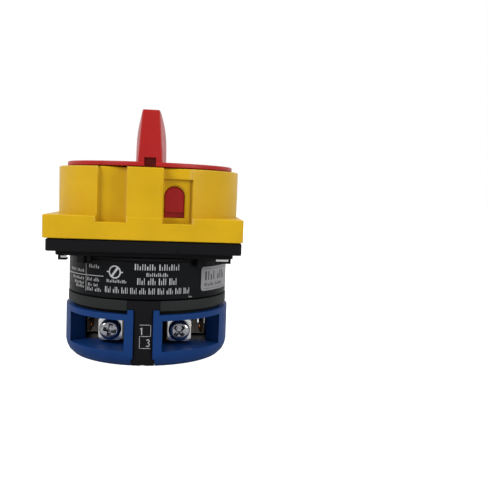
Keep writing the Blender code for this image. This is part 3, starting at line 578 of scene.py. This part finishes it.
def housing_columns():
    """Upright lines round the front half: (angle from the front, pocket or None, place in it)."""
    corner = degrees(atan(1.0 - FLANGE_CORNER / FLANGE_HALF))
    edges = [degrees(asin((x + side * 0.35) / RING_RADIUS))
             for x, side in zip((*POCKETS[0], *POCKETS[1]), (-1, 1, -1, 1))]
    stretches = [(-90.0, -90.0 + corner, 2.0), (-90.0 + corner, -corner, 0.4), (-corner, edges[0], 2.0)]
    stretches += [(edges[1], edges[2], 2.0), (edges[3], corner, 2.0), (corner, 90.0 - corner, 0.4),
                  (90.0 - corner, 90.0, 2.0)]
    columns = []
    for number, (start, stop, step) in enumerate(stretches):
        if number in (3, 4):
            low, high = edges[2 * (number - 3)], edges[2 * (number - 3) + 1]
            columns += [(low + (high - low) * i / (POCKET_COLUMNS - 1), number - 3, i)
                        for i in range(POCKET_COLUMNS)]
            start += 0.5
        columns += [(angle, None, 0) for angle in spaced(start, stop, step)]
    return columns


def housing_section(z, square, ring, shares, floors, columns):
    """One level of the housing: the outer of a square and a circle, with two recesses front and rear."""
    def surface(x):
        return -max(square, sqrt(max(0.0, ring ** 2 - x ** 2)))

    corner = max(0.2, FLANGE_CORNER - (FLANGE_HALF - square))
    recesses = [pocket_outline(pocket, surface, floor) for pocket, floor in zip(POCKETS, floors)]
    front = []
    for turn, pocket, place in columns:
        angle = radians(turn)
        reach = max(square_reach(angle, square, corner) if square else 0.0, ring)
        x, y = reach * sin(angle), -reach * cos(angle)
        if pocket is not None:
            share = shares[pocket]
            x += (recesses[pocket][place][0] - x) * share
            y += (recesses[pocket][place][1] - y) * share
        front.append((x, y, z))
    return front + [(-x, -y, z) for x, y, z in front]


def arch(left, right, bottom, crown, y):
    """Outline at one depth of an upright shape with a round top."""
    half = (right - left) / 2.0
    top = arc(half, 0.0, 180.0, 24, (left + half, crown - half))
    return [(x, y, z) for x, z in [(right, bottom)] + top + [(left, bottom)]]


def window_solid(grow, y_front, y_back):
    """Upright arch through the front wall; grow widens it below, above and to the right."""
    face = -RECESS_FLOOR + grow
    return loft([arch(WINDOW_X[0], WINDOW_X[1] + more, WINDOW_Z[0] - more, WINDOW_Z[1] + more, y)
                 for y, more in ((y_back, 0.0), (face, 0.0), (y_front, face - y_front))])


def lock_housing(material):
    """Yellow housing: square flange, thick ring, recesses and the arched window."""
    columns = housing_columns()
    low, top = HOUSING_LOW.z, HOUSING_HIGH.z
    open_floor, lintel_floor = (RECESS_FLOOR, RECESS_FLOOR), (RECESS_FLOOR, LINTEL_FLOOR)
    sections = []

    def level(z, square, ring, share=1.0, floors=open_floor):
        sections.append(housing_section(z, square, ring, (share, share), floors, columns))

    for inset, rise in reversed(fillet(0.3)):
        level(low + rise, FLANGE_HALF - inset, 0.0, 0.0)
    for inset, drop in fillet(0.35):
        level(RECESS_BOTTOM - drop, FLANGE_HALF, 0.0, inset / (FLANGE_HALF - RECESS_FLOOR))
    level(RECESS_BOTTOM, FLANGE_HALF, 0.0)
    for inset, drop in fillet(0.4):
        level(FLANGE_TOP - drop, FLANGE_HALF - inset, RING_RADIUS)
    level(FLANGE_TOP, 0.0, RING_RADIUS)
    level(LINTEL_BOTTOM, 0.0, RING_RADIUS)
    for inset, rise in reversed(fillet(0.25)):
        level(LINTEL_BOTTOM + rise, 0.0, RING_RADIUS, 1.0, (RECESS_FLOOR, LINTEL_FLOOR - inset))
    for inset, drop in fillet(0.45):
        level(top - drop, 0.0, RING_RADIUS - inset, 1.0, [floor - inset for floor in lintel_floor])
    hub = HUB_RADIUS + 0.3
    level(top, 0.0, hub, 0.0)
    level(top - RING_TOP_WALL, 0.0, hub, 0.0)
    level(top - RING_TOP_WALL, 0.0, RING_BORE, 0.0)
    level(low, 0.0, RING_BORE, 0.0)
    item = new_object("lock_housing_body", [loft(sections, closed=True)])
    groove = block((14.4, -27.2, RECESS_BOTTOM + 0.05), (15.2, -25.95, LINTEL_BOTTOM - 0.05))
    cut(item, window_solid(0.55, -RECESS_FLOOR - 0.4, -20.0), groove)
    finish(item, material, "housing", "yellow_plastic", "lock_housing")


# ---------------- lock tongue

def lock_tongue(material):
    """Red pull-out tongue behind the arched window, with the eye for a padlock."""
    levels = [(inset, TONGUE_FRONT + drop) for inset, drop in reversed(fillet(0.35))]
    item = new_object("tongue", [loft([
        arch(WINDOW_X[0] + GAP + inset, WINDOW_X[1] - GAP - inset, WINDOW_Z[0] + GAP + inset,
             WINDOW_Z[1] - GAP - inset, y) for inset, y in levels + [(0.0, TONGUE_BACK)]])])
    middle = (WINDOW_X[0] + WINDOW_X[1]) / 2.0
    shoulder = block((middle - 4.0, TONGUE_BACK - 1.4, WINDOW_Z[0] + GAP),
                     (middle + 4.0, TONGUE_BACK, 58.4))
    join(item, shoulder)
    eye = shifted(along_x(cylinder(3.0, -6.0, 6.0, MEDIUM), 1, -21.2, 54.9), x=middle)
    groove = block((middle - 5.0, -26.0, WINDOW_Z[0]), (middle + 5.0, -24.6, WINDOW_Z[0] + 1.9))
    cut(item, eye, groove)
    finish(item, material, "padlock_tongue", "red_plastic", "lock_tongue")


# ---------------- base plate

def foot(x_leg, x_toe, side_y):
    """Hook under the base: an outer leg and a round-ended toe that points inwards."""
    inward = -copysign(1.0, x_leg)
    low, high = HOOK_TOE_Z
    half = (high - low) / 2.0
    nose = arc(half, -90.0, 90.0, 6, (0.0, low + half))
    outline = [(x_leg, low)] + [(x_toe - inward * half + inward * x, z) for x, z in nose]
    x_inner, root = x_leg + inward * 0.7, STEP_BOTTOM + 0.5
    outline += [(x_inner, high), (x_inner, root), (x_leg, root)]
    return loft([[(x, side_y * y, z) for x, z in outline] for y in HOOK_Y])


def lug(angle, half_span, z_low, outer):
    """Curved lug that locates the round body under the base."""
    columns = [(angle + half_span * i / 4, z_low, STEP_BOTTOM + 0.6) for i in range(-4, 5)]
    return softened(band((LUG_INNER, outer), columns), 0.2)


def mount_base(material):
    """Black base plate: a soft-edged plate on a smaller step, with lugs, feet and screw pockets."""
    item = new_object("base_plate", [soft_plate(BASE_HALF, 1.2, BASE_BOTTOM, BASE_TOP, 0.35)])
    parts = [soft_plate(STEP_HALF, 2.6, STEP_BOTTOM, BASE_BOTTOM + 0.7, 0.25)]
    parts += [lug(angle, 3.5, LUG_BOTTOM, 30.7) for angle in (-142.0, -45.0, 38.0, 135.0)]
    parts += [lug(angle, 1.6, LUG_BOTTOM + 1.0, 30.3) for angle in (-148.6, -38.2, 141.6)]
    parts += [foot(leg, toe, side) for side in (-1, 1) for leg, toe in HOOKS_X]
    pip = turned([(0.0, BASE_HALF - 0.2), (0.55, BASE_HALF - 0.2), (0.55, BASE_HALF + 0.15),
                  (0.4, BASE_HALF + 0.3), (0.0, BASE_HALF + 0.3)], 16)
    parts += [turned_to(along_y(pip, 10.6, 39.3), angle) for angle in (0.0, 180.0)]
    join(item, *parts)
    corners = [(x, y) for x in (-SCREW_SPREAD, SCREW_SPREAD) for y in (-SCREW_SPREAD, SCREW_SPREAD)]
    below, above = STEP_BOTTOM - 0.6, BASE_TOP + 1.0
    cuts = [cylinder(9.0, below, above, LARGE)]
    for x, y in corners:
        cuts += [shifted(cylinder(SCREW_HOLE, below, above), x, y),
                 shifted(cylinder(SCREW_POCKET, below, BASE_BOTTOM + 1.5), x, y)]
    cuts += bolt_holes(BOLT_HOLE, below, above) + bolt_holes(NUT_POCKET, BASE_TOP - 2.5, above)
    cut(item, *cuts)
    finish(item, material, "housing", "black_plastic", "mount_base")


def liners(material):
    """Thin light strips that lie on the toes of the four feet."""
    strips = []
    for leg, toe in HOOKS_X:
        inward = -copysign(1.0, leg)
        for side in (-1, 1):
            strip = block_between((toe - inward * 0.3, side * 27.2, HOOK_TOE_Z[1]),
                                  (leg + inward * 0.75, side * 28.2, STEP_BOTTOM - 0.15))
            strips.append(softened(strip, 0.08))
    finish(new_object("foot_liners", strips), material, "housing", "white_nylon")


def bolt_holes(radius, z_low, z_high):
    return [shifted(cylinder(radius, z_low, z_high), y=side * BOLT_Y) for side in (-1, 1)]


# ---------------- switch body and cover

def detent_housing(material):
    """Round black housing with a collar, hollow for the click mechanism."""
    low, top = DETENT_LOW.z, DETENT_HIGH.z
    collar = DETENT_HIGH.x
    profile = [(0.0, low)] + lower_edge(HOUSING_RADIUS, low, 0.3) + [(HOUSING_RADIUS, COLLAR_BOTTOM)]
    profile += lower_edge(collar, COLLAR_BOTTOM, 0.2) + upper_edge(collar, top, 0.3) + [(0.0, top)]
    item = new_object("body_housing", [turned(profile)])
    floor, above = low + 2.0, top + 1.0
    cuts = [cylinder(CLICK_CHAMBER, floor, above, LARGE), block((-25.0, -4.0, floor), (25.0, 4.0, above)),
            cylinder(SHAFT_PASSAGE, low - 1.0, floor + 1.0, MEDIUM)]
    cut(item, *cuts, *bolt_holes(BOLT_HOLE, low - 1.0, above))
    stops = [band((9.4, 12.6), [(start + 1.25 * i, 30.9, top) for i in range(9)])
             for start in (114.0, -124.0)]
    join(item, *stops)
    finish(item, material, "housing", "black_plastic", "detent_housing")


def cover(rim_material, core_material):
    """Cover plate: a dark rim on each side, and a black core with a head over each column."""
    low, top = COVER_LOW.z, COVER_HIGH.z
    edge = degrees(asin(COVER_NOTCH_HALF / COVER_RADIUS))
    for side, name in ((-1, "left"), (1, "right")):
        columns = [(side * (edge + (180.0 - 2.0 * edge) * i / 72), low, top) for i in range(73)]
        rim = softened(band((COVER_CORE - 0.5, COVER_RADIUS), columns), 0.25)
        item = new_object(f"cover_band_{name}", [rim])
        finish(item, rim_material, "housing", "dark_plastic", "cover_plate")
    core = new_object("cover_core", [prism(arc(COVER_CORE, 0.0, 360.0, ROUND)[:-1], low, top)])
    heads = [band((COVER_CORE - 0.7, COLUMN_RADIUS - 0.04),
                  [(turn + (edge - 0.2) * i / 4, SHROUD_TAB + GAP, top - 0.03) for i in range(-4, 5)])
             for turn in (0.0, 180.0)]
    join(core, *heads)
    passage = cylinder(SHAFT_PASSAGE, low - 1.0, top + 1.0, MEDIUM)
    cut(core, passage, *bolt_holes(BOLT_HOLE, low - 1.0, top + 1.0))
    finish(core, core_material, "housing", "dark_plastic", "cover_plate")


# ---------------- label, sticker and print

def path(*corners):
    """Points at most two degrees apart along straight runs between corners (angle, height)."""
    points = [corners[0]]
    for (a, z), (b, y) in zip(corners, corners[1:]):
        steps = max(1, round(abs(b - a) / 2.0))
        points += [(a + (b - a) * i / steps, z + (y - z) * i / steps) for i in range(1, steps + 1)]
    return points


def stroke(points, width, radius, closed=False):
    """A printed line on a round face, through points (angle from the front, height)."""
    flat = [Vector((radians(angle) * radius, z)) for angle, z in points]
    sections = []
    for i, here in enumerate(flat):
        before = flat[i - 1] if i or closed else here
        after = flat[(i + 1) % len(flat)] if i < len(flat) - 1 or closed else here
        along = (after - before).normalized()
        across = Vector((-along.y, along.x)) * width / 2.0
        sides = ((radius + PRINT_LIFT[0], here - across), (radius + PRINT_LIFT[0], here + across),
                 (radius + PRINT_LIFT[1], here + across), (radius + PRINT_LIFT[1], here - across))
        sections.append([(r * sin(p.x / radius), -r * cos(p.x / radius), p.y)
                         for r, p in sides])
    return loft(sections, closed)


def ticks(start, stop, z, height, groups, size, radius):
    """Groups of upright ticks of uneven width and height that stand for a line of print."""
    count = groups * (size + 1) - 1
    pitch = (stop - start) / count
    row = []
    for i in range(count):
        if i % (size + 1) == size:
            continue
        angle = start + pitch * (i + 0.5)
        width = radians(pitch) * radius * TICK_WIDTHS[i % len(TICK_WIDTHS)]
        tall = height * TICK_HEIGHTS[i % len(TICK_HEIGHTS)]
        row.append(stroke([(angle, z - height / 2.0), (angle, z - height / 2.0 + tall)], width, radius))
    return row


def ring_mark(angle, z, size, width, radius):
    turn = degrees(size / radius)
    around = [(angle + turn * x, z + size * y) for x, y in arc(1.0, 0.0, 360.0, 40)[:-1]]
    return stroke(around, width, radius, closed=True)


def label(film, ink):
    """Wrap-around label with a ruled table, rows of ticks and a sign of a rotary knob."""
    low, top = LABEL_LOW.z, LABEL_HIGH.z
    columns = [(-150.0 + 2.0 * i, low, top) for i in range(151)]
    item = new_object("wrap_label", [band((HOUSING_RADIUS + 0.15, LABEL_RADIUS), columns)])
    finish(item, film, "housing", "label_film", "name_label")
    ground = LABEL_RADIUS
    lines = [stroke(path((-76.0, 28.9), (-28.5, 29.6)), 0.22, ground),
             stroke(path((-44.5, 34.2), (-44.3, 24.0)), 0.22, ground)]
    for row in LABEL_ROWS:
        lines += ticks(*row, ground)
    lines.append(ring_mark(-20.1, 31.3, 1.95, 0.45, ground))
    lines.append(stroke([(-22.2, 29.9), (-18.0, 32.7)], 0.75, ground))
    lines += [stroke(path((angle, 31.3), (angle + 1.7, 31.3)), 0.4, ground) for angle in (-25.9, -16.0)]
    marks = new_object("label_print", lines)
    finish(marks, ink, "housing", "sticker_film")


def sticker(paper, ink):
    """Small silver sticker with rounded corners, a fine frame and rows of ticks."""
    start, stop = STICKER_ANGLES
    low, top = STICKER_Z
    rounding = [(STICKER_CORNER_ANGLE * (1.0 - cos(t)), STICKER_CORNER * (1.0 - sin(t)))
                for t in [radians(15.0 * i) for i in range(7)]]
    columns = [(start + turn, low + inset, top - inset) for turn, inset in rounding]
    inner = stop - start - 2.0 * STICKER_CORNER_ANGLE
    columns += [(start + STICKER_CORNER_ANGLE + inner * i / 15, low, top) for i in range(1, 15)]
    columns += [(stop - turn, low + inset, top - inset) for turn, inset in reversed(rounding)]
    item = new_object("small_sticker", [band((STICKER_RADIUS - 0.15, STICKER_RADIUS), columns)])
    finish(item, paper, "housing", "sticker_film", "rating_sticker")
    lines = [stroke(path((start + 2.0, z), (stop - 2.0, z)), 0.12, STICKER_RADIUS)
             for z in (low + 0.7, top - 0.7)]
    for row in STICKER_ROWS:
        lines += ticks(*row, STICKER_RADIUS)
    marks = new_object("sticker_print", lines)
    finish(marks, ink, "housing", "label_film")


def terminal_numbers(ink):
    """Plain numbers 1 to 4 in open frames on the two columns: odd at the front, even at the rear."""
    frames = (((-2.2, 14.2), (5.0, 14.2), (5.0, 10.4)),
              ((5.0, 10.4), (-2.2, 10.4), (-2.2, 6.4), (5.0, 6.4)))
    lines = []
    for turn, numbers in ((0.0, (1, 3)), (180.0, (2, 4))):
        lines += [turned_to(stroke(path(*corners), 0.14, COLUMN_RADIUS), turn) for corners in frames]
        for number, (angle, z) in zip(numbers, ((-1.2, 12.1), (3.4, 8.2))):
            for run in NUMBER_STROKES[number]:
                points = [(angle + x * 2.0, z + y * 1.2) for x, y in run]
                lines.append(turned_to(stroke(points, 0.3, COLUMN_RADIUS), turn))
    finish(new_object("terminal_numbers", lines), ink, "housing", "sticker_film")


# ---------------- contact section

def contact_block(material):
    """Black contact section: two soft-edged columns, roof and floor discs, core and end posts."""
    top, cover_top = BLOCK_HIGH.z, COVER_HIGH.z
    item = new_object("contact_section", [block((-14.4, -13.8, 1.8), (14.4, 13.8, top - 0.5))])
    posts = []
    for half, high in ((COLUMN_HALF, cover_top), (COLUMN_FOOT_HALF, SHROUD_HEEL_Z - GAP)):
        edge = degrees(asin(half / COLUMN_RADIUS))
        outline = arc(COLUMN_RADIUS, -90.0 - edge, -90.0 + edge, 8) + [(half, -13.2), (-half, -13.2)]
        posts.append(softened(prism(outline, 0.0, high), 0.3, 3))
    roof = [(0.0, 16.9)] + lower_edge(26.4, 16.9, 0.2) + upper_edge(26.4, top, 0.2) + [(0.0, top)]
    parts = posts + [mirrored(post, side_y=-1) for post in posts]
    parts += [turned(roof), cylinder(25.7, 1.75, 3.4, ROUND)]
    for side in (-1, 1):
        parts.append(block_between((side * 24.9, -4.0, 2.8), (side * 26.2, 4.0, 17.5)))
        for side_y in (-1, 1):
            parts += [block_between((side * near, side_y * 3.35, 2.9), (side * far, side_y * 4.6, 17.4))
                      for near, far in ((21.9, 26.0), (14.0, 16.2))]
    join(item, *parts)
    outer = COLUMN_RADIUS + 0.2
    envelope = turned([(0.0, 0.0), (26.5, 0.0), (27.9, 1.5), (outer, 3.2), (outer, cover_top + 0.5),
                       (0.0, cover_top + 0.5)])
    combine(item, "INTERSECT", [envelope])
    cuts = [cylinder(CAM_CHAMBER, 1.0, 16.0, LARGE), cylinder(SHAFT_PASSAGE, 15.5, top + 1.0, MEDIUM),
            block((-15.0, -3.3, 5.9), (15.0, 3.3, 13.1))]
    for side_x in (-1, 1):
        for side_y in (-1, 1):
            hole = along_y(cylinder(TERMINAL_HOLE, 8.4, 14.5), side_x * TERMINAL_X, TERMINAL_Z)
            cuts.append(mirrored(hole, side_y=-side_y))
    cuts += bolt_holes(BOLT_HOLE, -1.0, cover_top + 1.0) + bolt_holes(BOLT_SINK, -1.0, 3.0)
    cut(item, *cuts)
    finish(item, material, "housing", "black_plastic", "contact_block")
    plate = new_object("back_cover", [soft_plate(12.9, 1.5, 0.0, 1.5, 0.3)])
    finish(plate, material, "housing", "black_plastic", "end_cover")


def shroud_inside():
    """Floor, ceiling, slanting jamb and column side of one terminal window, front left."""
    start = -90.0 - degrees(asin(3.6 / 27.6))
    shelf = arc(27.6, start, -154.0, 24) + [(-22.0, -9.0), (-15.0, -9.0), (-15.0, -14.3), (-3.6, -14.3)]
    jamb = [(-26.6, -10.4), (-25.9, -12.6), (-21.4, -8.6), (-22.3, -7.6)]
    low, high = SHROUD_WINDOW_Z
    roof = shelf[:-3] + [(-17.5, -16.6), (-3.6, -16.6)]
    return [prism(shelf, 3.7, low - 0.1), prism(roof, high + 0.1, 16.6), prism(jamb, 3.8, 16.5),
            block((-SHROUD_WINDOW_X[0] + 0.1, -27.9, 3.9), (-SHROUD_EDGE_X - 0.1, -19.0, 16.4))]


def shroud(node, side, material):
    """Blue half-round terminal cover with a softly edged window front and rear."""
    top = SHROUD_HIGH.z
    rim = top - SHROUD_STEP
    profile = [(SHROUD_BORE, rim)] + upper_edge(SHROUD_RADIUS, rim, 0.2)[::-1]
    profile += [(SHROUD_RADIUS, 4.6), (28.85, 3.0), (28.2, 1.6), (26.75, 0.15), (26.4, 0.0), (25.2, 0.0),
                (26.1, 1.5), (SHROUD_BORE, 3.4)]
    item = new_object(node + "_skin", [turned(profile)])
    half_space = block((-31.0, -31.0, -1.0), (-SHROUD_EDGE_X, 31.0, 20.0))
    combine(item, "INTERSECT", [mirrored(half_space, -side)])
    inner_x, outer_x = SHROUD_WINDOW_X
    window = prism([(-outer_x, -31.0), (-inner_x, -31.0), (-inner_x, -20.5), (-22.6, -9.8),
                    (-outer_x, -12.4)], *SHROUD_WINDOW_Z)
    for side_y in (-1, 1):
        join(item, *[mirrored(piece, -side, -side_y) for piece in shroud_inside()])
        cut(item, mirrored(window, -side, -side_y))
    heel = block((-SHROUD_HEEL_X, -31.0, -1.0), (0.0, 31.0, SHROUD_HEEL_Z))
    cut(item, mirrored(heel, -side))
    tab = [(-angle, 15.0, SHROUD_TAB) for angle in (6.5, 7.8, 9.1, 10.4)]
    tab = softened(band((27.3, SHROUD_RADIUS), tab), 0.2)
    join(item, *[mirrored(tab, -side, side_y) for side_y in (-1, 1)])
    soften(item, 0.3, 2, outer_edge)
    finish(item, material, "housing", "blue_plastic", node)


def outer_edge(place):
    """True for a window or end edge on the outer face of a shroud."""
    return hypot(place.x, place.y) > SHROUD_RADIUS - 0.3 and 4.7 < place.z < 16.8


# ---------------- terminals and contacts

def cross_recess(turn, top):
    """Two tapering bars and a deep square pit that cut a cross into a screw head."""
    square = ((-1, -1), (1, -1), (1, 1), (-1, 1))
    bar = loft([[(x * half, y * reach, z) for x, y in square]
                for half, reach, z in ((0.22, 1.3, top - 1.7), (0.78, 2.5, top + 0.3))])
    pit = loft([[(x * half, y * half, z) for x, y in square]
                for half, z in ((0.5, top - 2.6), (1.2, top + 0.3))])
    return [turned_to(bar, turn), turned_to(bar, turn + 90.0), turned_to(pit, turn + 45.0)]


def terminals(brass, steel, shaded_screw_steel):
    """Per terminal: contact strap with a domed tip, square clamp washer and pan-head screw."""
    head, seat = 3.7, 16.7
    dome = [(head, seat), (head, seat + 0.9), (3.6, seat + 1.5), (3.35, seat + 1.95), (2.95, seat + 2.3),
            (2.5, seat + 2.48), (1.4, seat + 2.57), (0.0, seat + 2.6)]
    shank = [(0.0, 8.8), (1.7, 8.8), (1.7, seat)]
    tip = turned([(0.0, 15.4), (1.5, 15.4), (1.5, 15.8), (1.3, 16.15), (0.8, 16.35), (0.0, 16.4)], SMALL)
    half, flat = 4.15, 3.1
    corners = [(half, -flat), (half, flat), (flat, half), (-flat, half), (-half, flat), (-half, -flat),
               (-flat, -half), (flat, -half)]
    order = ((-1, -1, 12.0), (-1, 1, 70.0), (1, -1, 45.0), (1, 1, 28.0))
    for number, (side_x, side_y, turn) in enumerate(order, 1):
        flip = (-side_x, -side_y)
        pad = softened(block((-15.9, -15.0, 6.2), (-7.4, -14.1, 14.4)), 0.15)
        strap = new_object(f"strap_{number}", [mirrored(pad, *flip)])
        arm = block((-15.9, -14.6, 7.6), (-14.8, -7.6, 13.0))
        rivet = along_x(tip, -1, -CONTACT_Y, TERMINAL_Z)
        join(strap, mirrored(arm, *flip), mirrored(rivet, *flip))
        hole = along_y(cylinder(TERMINAL_HOLE, 13.0, 18.0), -TERMINAL_X, TERMINAL_Z)
        cut(strap, mirrored(hole, *flip))
        finish(strap, brass, "housing", "contact_brass", f"fixed_contact_{number}")
        plate = along_y(softened(prism(corners, 15.3, 16.4), 0.2), -TERMINAL_X, TERMINAL_Z)
        washer = new_object(f"washer_{number}", [mirrored(plate, *flip)])
        cut(washer, mirrored(hole, *flip))
        finish(washer, steel, "housing", "zinc_steel", f"clamp_washer_{number}")
        # the screw takes a darker copy of the washers' zinc: painted dark reflection on its head
        screw = new_object(f"screw_{number}", [turned(shank + dome, MEDIUM)])
        cut(screw, *cross_recess(turn, seat + 2.6))
        screw.data.transform(Matrix.Rotation(radians(90.0), 4, "X"))
        screw.data.transform(Matrix.Diagonal((side_x, -side_y, 1.0, 1.0)))
        screw.data.transform(Matrix.Translation(Vector((side_x * TERMINAL_X, 0.0, TERMINAL_Z)) * MM))
        if side_x * side_y > 0:
            screw.data.flip_normals()
        finish(screw, shaded_screw_steel, "housing", "zinc_steel", f"terminal_screw_{number}")


def bridges(shaded_bar_metal, copper):
    """Moving contact bars, painted nearly black as painted shade of the cavity they sit in, and their
    domed tips.
    """
    tip = turned([(0.0, 19.8), (1.3, 19.8), (1.3, 19.2), (1.2, 18.95), (0.9, 18.72), (0.5, 18.62),
                  (0.0, 18.6)], SMALL)
    for side, name in ((-1, "left"), (1, "right")):
        bar = softened(block_between((side * 19.1, -11.4, 8.3), (side * 20.1, 11.4, 12.2)), 0.2)
        item = new_object(f"contact_bar_{name}", [bar])
        finish(item, shaded_bar_metal, f"carrier_{name}", "contact_brass", f"bridge_{name}")
        tips = new_object(f"contact_tips_{name}",
                          [along_x(tip, side, y, TERMINAL_Z) for y in (-CONTACT_Y, CONTACT_Y)])
        finish(tips, copper, f"carrier_{name}", "contact_brass", f"bridge_{name}")


# ---------------- stage, lights and camera

def stage():
    """Plain white floor that the switch stands on."""
    material, tree, shader = new_material("floor_white", (0.5, 0.5, 0.5), 0.8)
    mottle = noise(tree, 0.02, 2.0)
    tree.links.new(two_tone(tree, mottle.outputs["Fac"], (0.49, 0.49, 0.49), (0.51, 0.51, 0.51)),
                   shader.inputs["Base Color"])
    shader.inputs["Emission Color"].default_value = (1.0, 1.0, 1.0, 1.0)
    rays = add_node(tree, "ShaderNodeLightPath")
    tree.links.new(spread(tree, rays.outputs["Is Camera Ray"], 0.0, FLOOR_GLOW, 0.0, 1.0),
                   shader.inputs["Emission Strength"])
    floor = new_object("floor", [block((-4000.0, -4000.0, -2.0), (4000.0, 4000.0, 0.0))])
    floor.data.materials.append(material)


def surround():
    """White backdrop for the camera; as a light it is bright behind and above, and dim in front."""
    world = bpy.data.worlds.new("studio")
    world.use_nodes = True
    tree = world.node_tree
    direction = add_node(tree, "ShaderNodeTexCoord")
    parts = add_node(tree, "ShaderNodeSeparateXYZ", Vector=direction.outputs["Generated"])
    depth = spread(tree, parts.outputs["Y"], FRONT_LIGHT, BACK_LIGHT, -0.5, 1.0)
    height = spread(tree, parts.outputs["Z"], 0.0, TOP_LIGHT, 0.2, 1.0)
    glow = add_node(tree, "ShaderNodeMath")
    rays = add_node(tree, "ShaderNodeLightPath").outputs["Is Camera Ray"]
    seen = add_node(tree, "ShaderNodeMath")
    seen.operation = "MAXIMUM"
    for node, values in ((glow, (depth, height)), (seen, (glow.outputs[0], rays))):
        for socket, value in zip(node.inputs, values):
            tree.links.new(value, socket)
    tree.links.new(seen.outputs[0], tree.nodes["Background"].inputs["Strength"])
    tree.nodes["Background"].inputs["Color"].default_value = (1.0, 1.0, 1.0, 1.0)
    bpy.context.scene.world = world


def lights():
    """Soft key from the upper left and a weaker fill from the right."""
    target = Vector((0.0, 0.0, 45.0))
    for name, place, size, power in LAMPS:
        lamp = bpy.data.lights.new(name, "AREA")
        lamp.shape = "SQUARE"
        lamp.size = size * MM
        lamp.energy = power
        holder = bpy.data.objects.new(name, lamp)
        holder.location = Vector(place) * MM
        holder.rotation_euler = (target - Vector(place)).to_track_quat("-Z", "Y").to_euler()
        bpy.context.scene.collection.objects.link(holder)


def camera():
    """Camera in front, a little above the middle and to the right, turned slightly past the switch."""
    yaw, pitch, roll = (radians(angle) for angle in (CAMERA_YAW, CAMERA_PITCH, CAMERA_ROLL))
    forward = Vector((sin(yaw) * cos(pitch), cos(yaw) * cos(pitch), sin(pitch)))
    level = Vector((cos(yaw), -sin(yaw), 0.0))
    upright = level.cross(forward)
    right = cos(roll) * level + sin(roll) * upright
    up = cos(roll) * upright - sin(roll) * level
    data = bpy.data.cameras.new("camera")
    data.lens = CAMERA_LENS
    data.sensor_width = 36.0
    holder = bpy.data.objects.new("camera", data)
    facing = Matrix((right, up, -forward)).transposed().to_4x4()
    holder.matrix_world = Matrix.Translation(Vector(CAMERA_PLACE) * MM) @ facing
    bpy.context.scene.collection.objects.link(holder)
    bpy.context.scene.camera = holder


def carried_over(looks):
    """Gives every CAD node that stays visible the procedural look of its own slot."""
    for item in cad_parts.values():
        for holder in item.material_slots:
            holder.material = looks[holder.material.name]


red = plastic("red_moulding", (0.35, 0.0075, 0.0075), 0.38, shine=0.3)
# the yellow has a painted highlight along its sharp edges
yellow = plastic("yellow_moulding", (0.55, 0.325, 0.004), 0.38, shine=0.18, edge_highlight=0.2)
black = plastic("black_moulding", (0.006, 0.006, 0.007), 0.5, shine=0.08)
dark = plastic("dark_moulding", (0.014, 0.016, 0.016), 0.5, shine=0.15)
blue = plastic("blue_moulding", (0.006, 0.034, 0.14), 0.4, shine=0.1)
nylon = plastic("nylon_moulding", (0.66, 0.64, 0.58), 0.45)
rubber = plastic("seal_rubber_look", (0.012, 0.012, 0.012), 0.75, grain=0.2)
film = plastic("label_film_look", (0.0025, 0.003, 0.004), 0.34, grain=0.02, shine=0.1)
paper = plastic("sticker_paper", (0.23, 0.23, 0.24), 0.35, grain=0.02, shine=0.3)
white_ink = plastic("white_ink", (0.42, 0.42, 0.43), 0.45)
dark_ink = plastic("dark_ink", (0.02, 0.02, 0.022), 0.45)
liner = plastic("liner_strip", (0.8, 0.8, 0.8), 0.5)
# screws: the washers' zinc painted darker, as painted reflection of dark surroundings
shaded_screw_steel = metal("screw_zinc_painted_dark", (0.42, 0.43, 0.46), 0.16)
steel = metal("zinc_plate", (0.78, 0.79, 0.8), 0.17)
brass = metal("brass", (0.6, 0.36, 0.17), 0.3)
# contact bars: copper painted nearly black, as painted shade of the dark cavity
shaded_bar_metal = metal("copper_painted_shade", (0.02, 0.012, 0.008), 0.4)
copper = metal("copper", (0.75, 0.4, 0.25), 0.22)

carried_over({"red_plastic": red, "yellow_plastic": yellow, "black_plastic": black, "dark_plastic": dark,
              "blue_plastic": blue, "white_nylon": nylon, "zinc_steel": steel, "contact_brass": brass,
              "label_film": film, "sticker_film": paper, "seal_rubber": rubber})
knob(red)
lock_housing(yellow)
lock_tongue(red)
mount_base(black)
liners(liner)
detent_housing(black)
cover(dark, black)
label(film, white_ink)
sticker(paper, dark_ink)
terminal_numbers(white_ink)
contact_block(black)
shroud("terminal_shroud_left", -1, blue)
shroud("terminal_shroud_right", 1, blue)
terminals(brass, steel, shaded_screw_steel)
bridges(shaded_bar_metal, copper)
stage()
surround()
lights()
camera()
bpy.context.scene.view_settings.view_transform = "Standard"
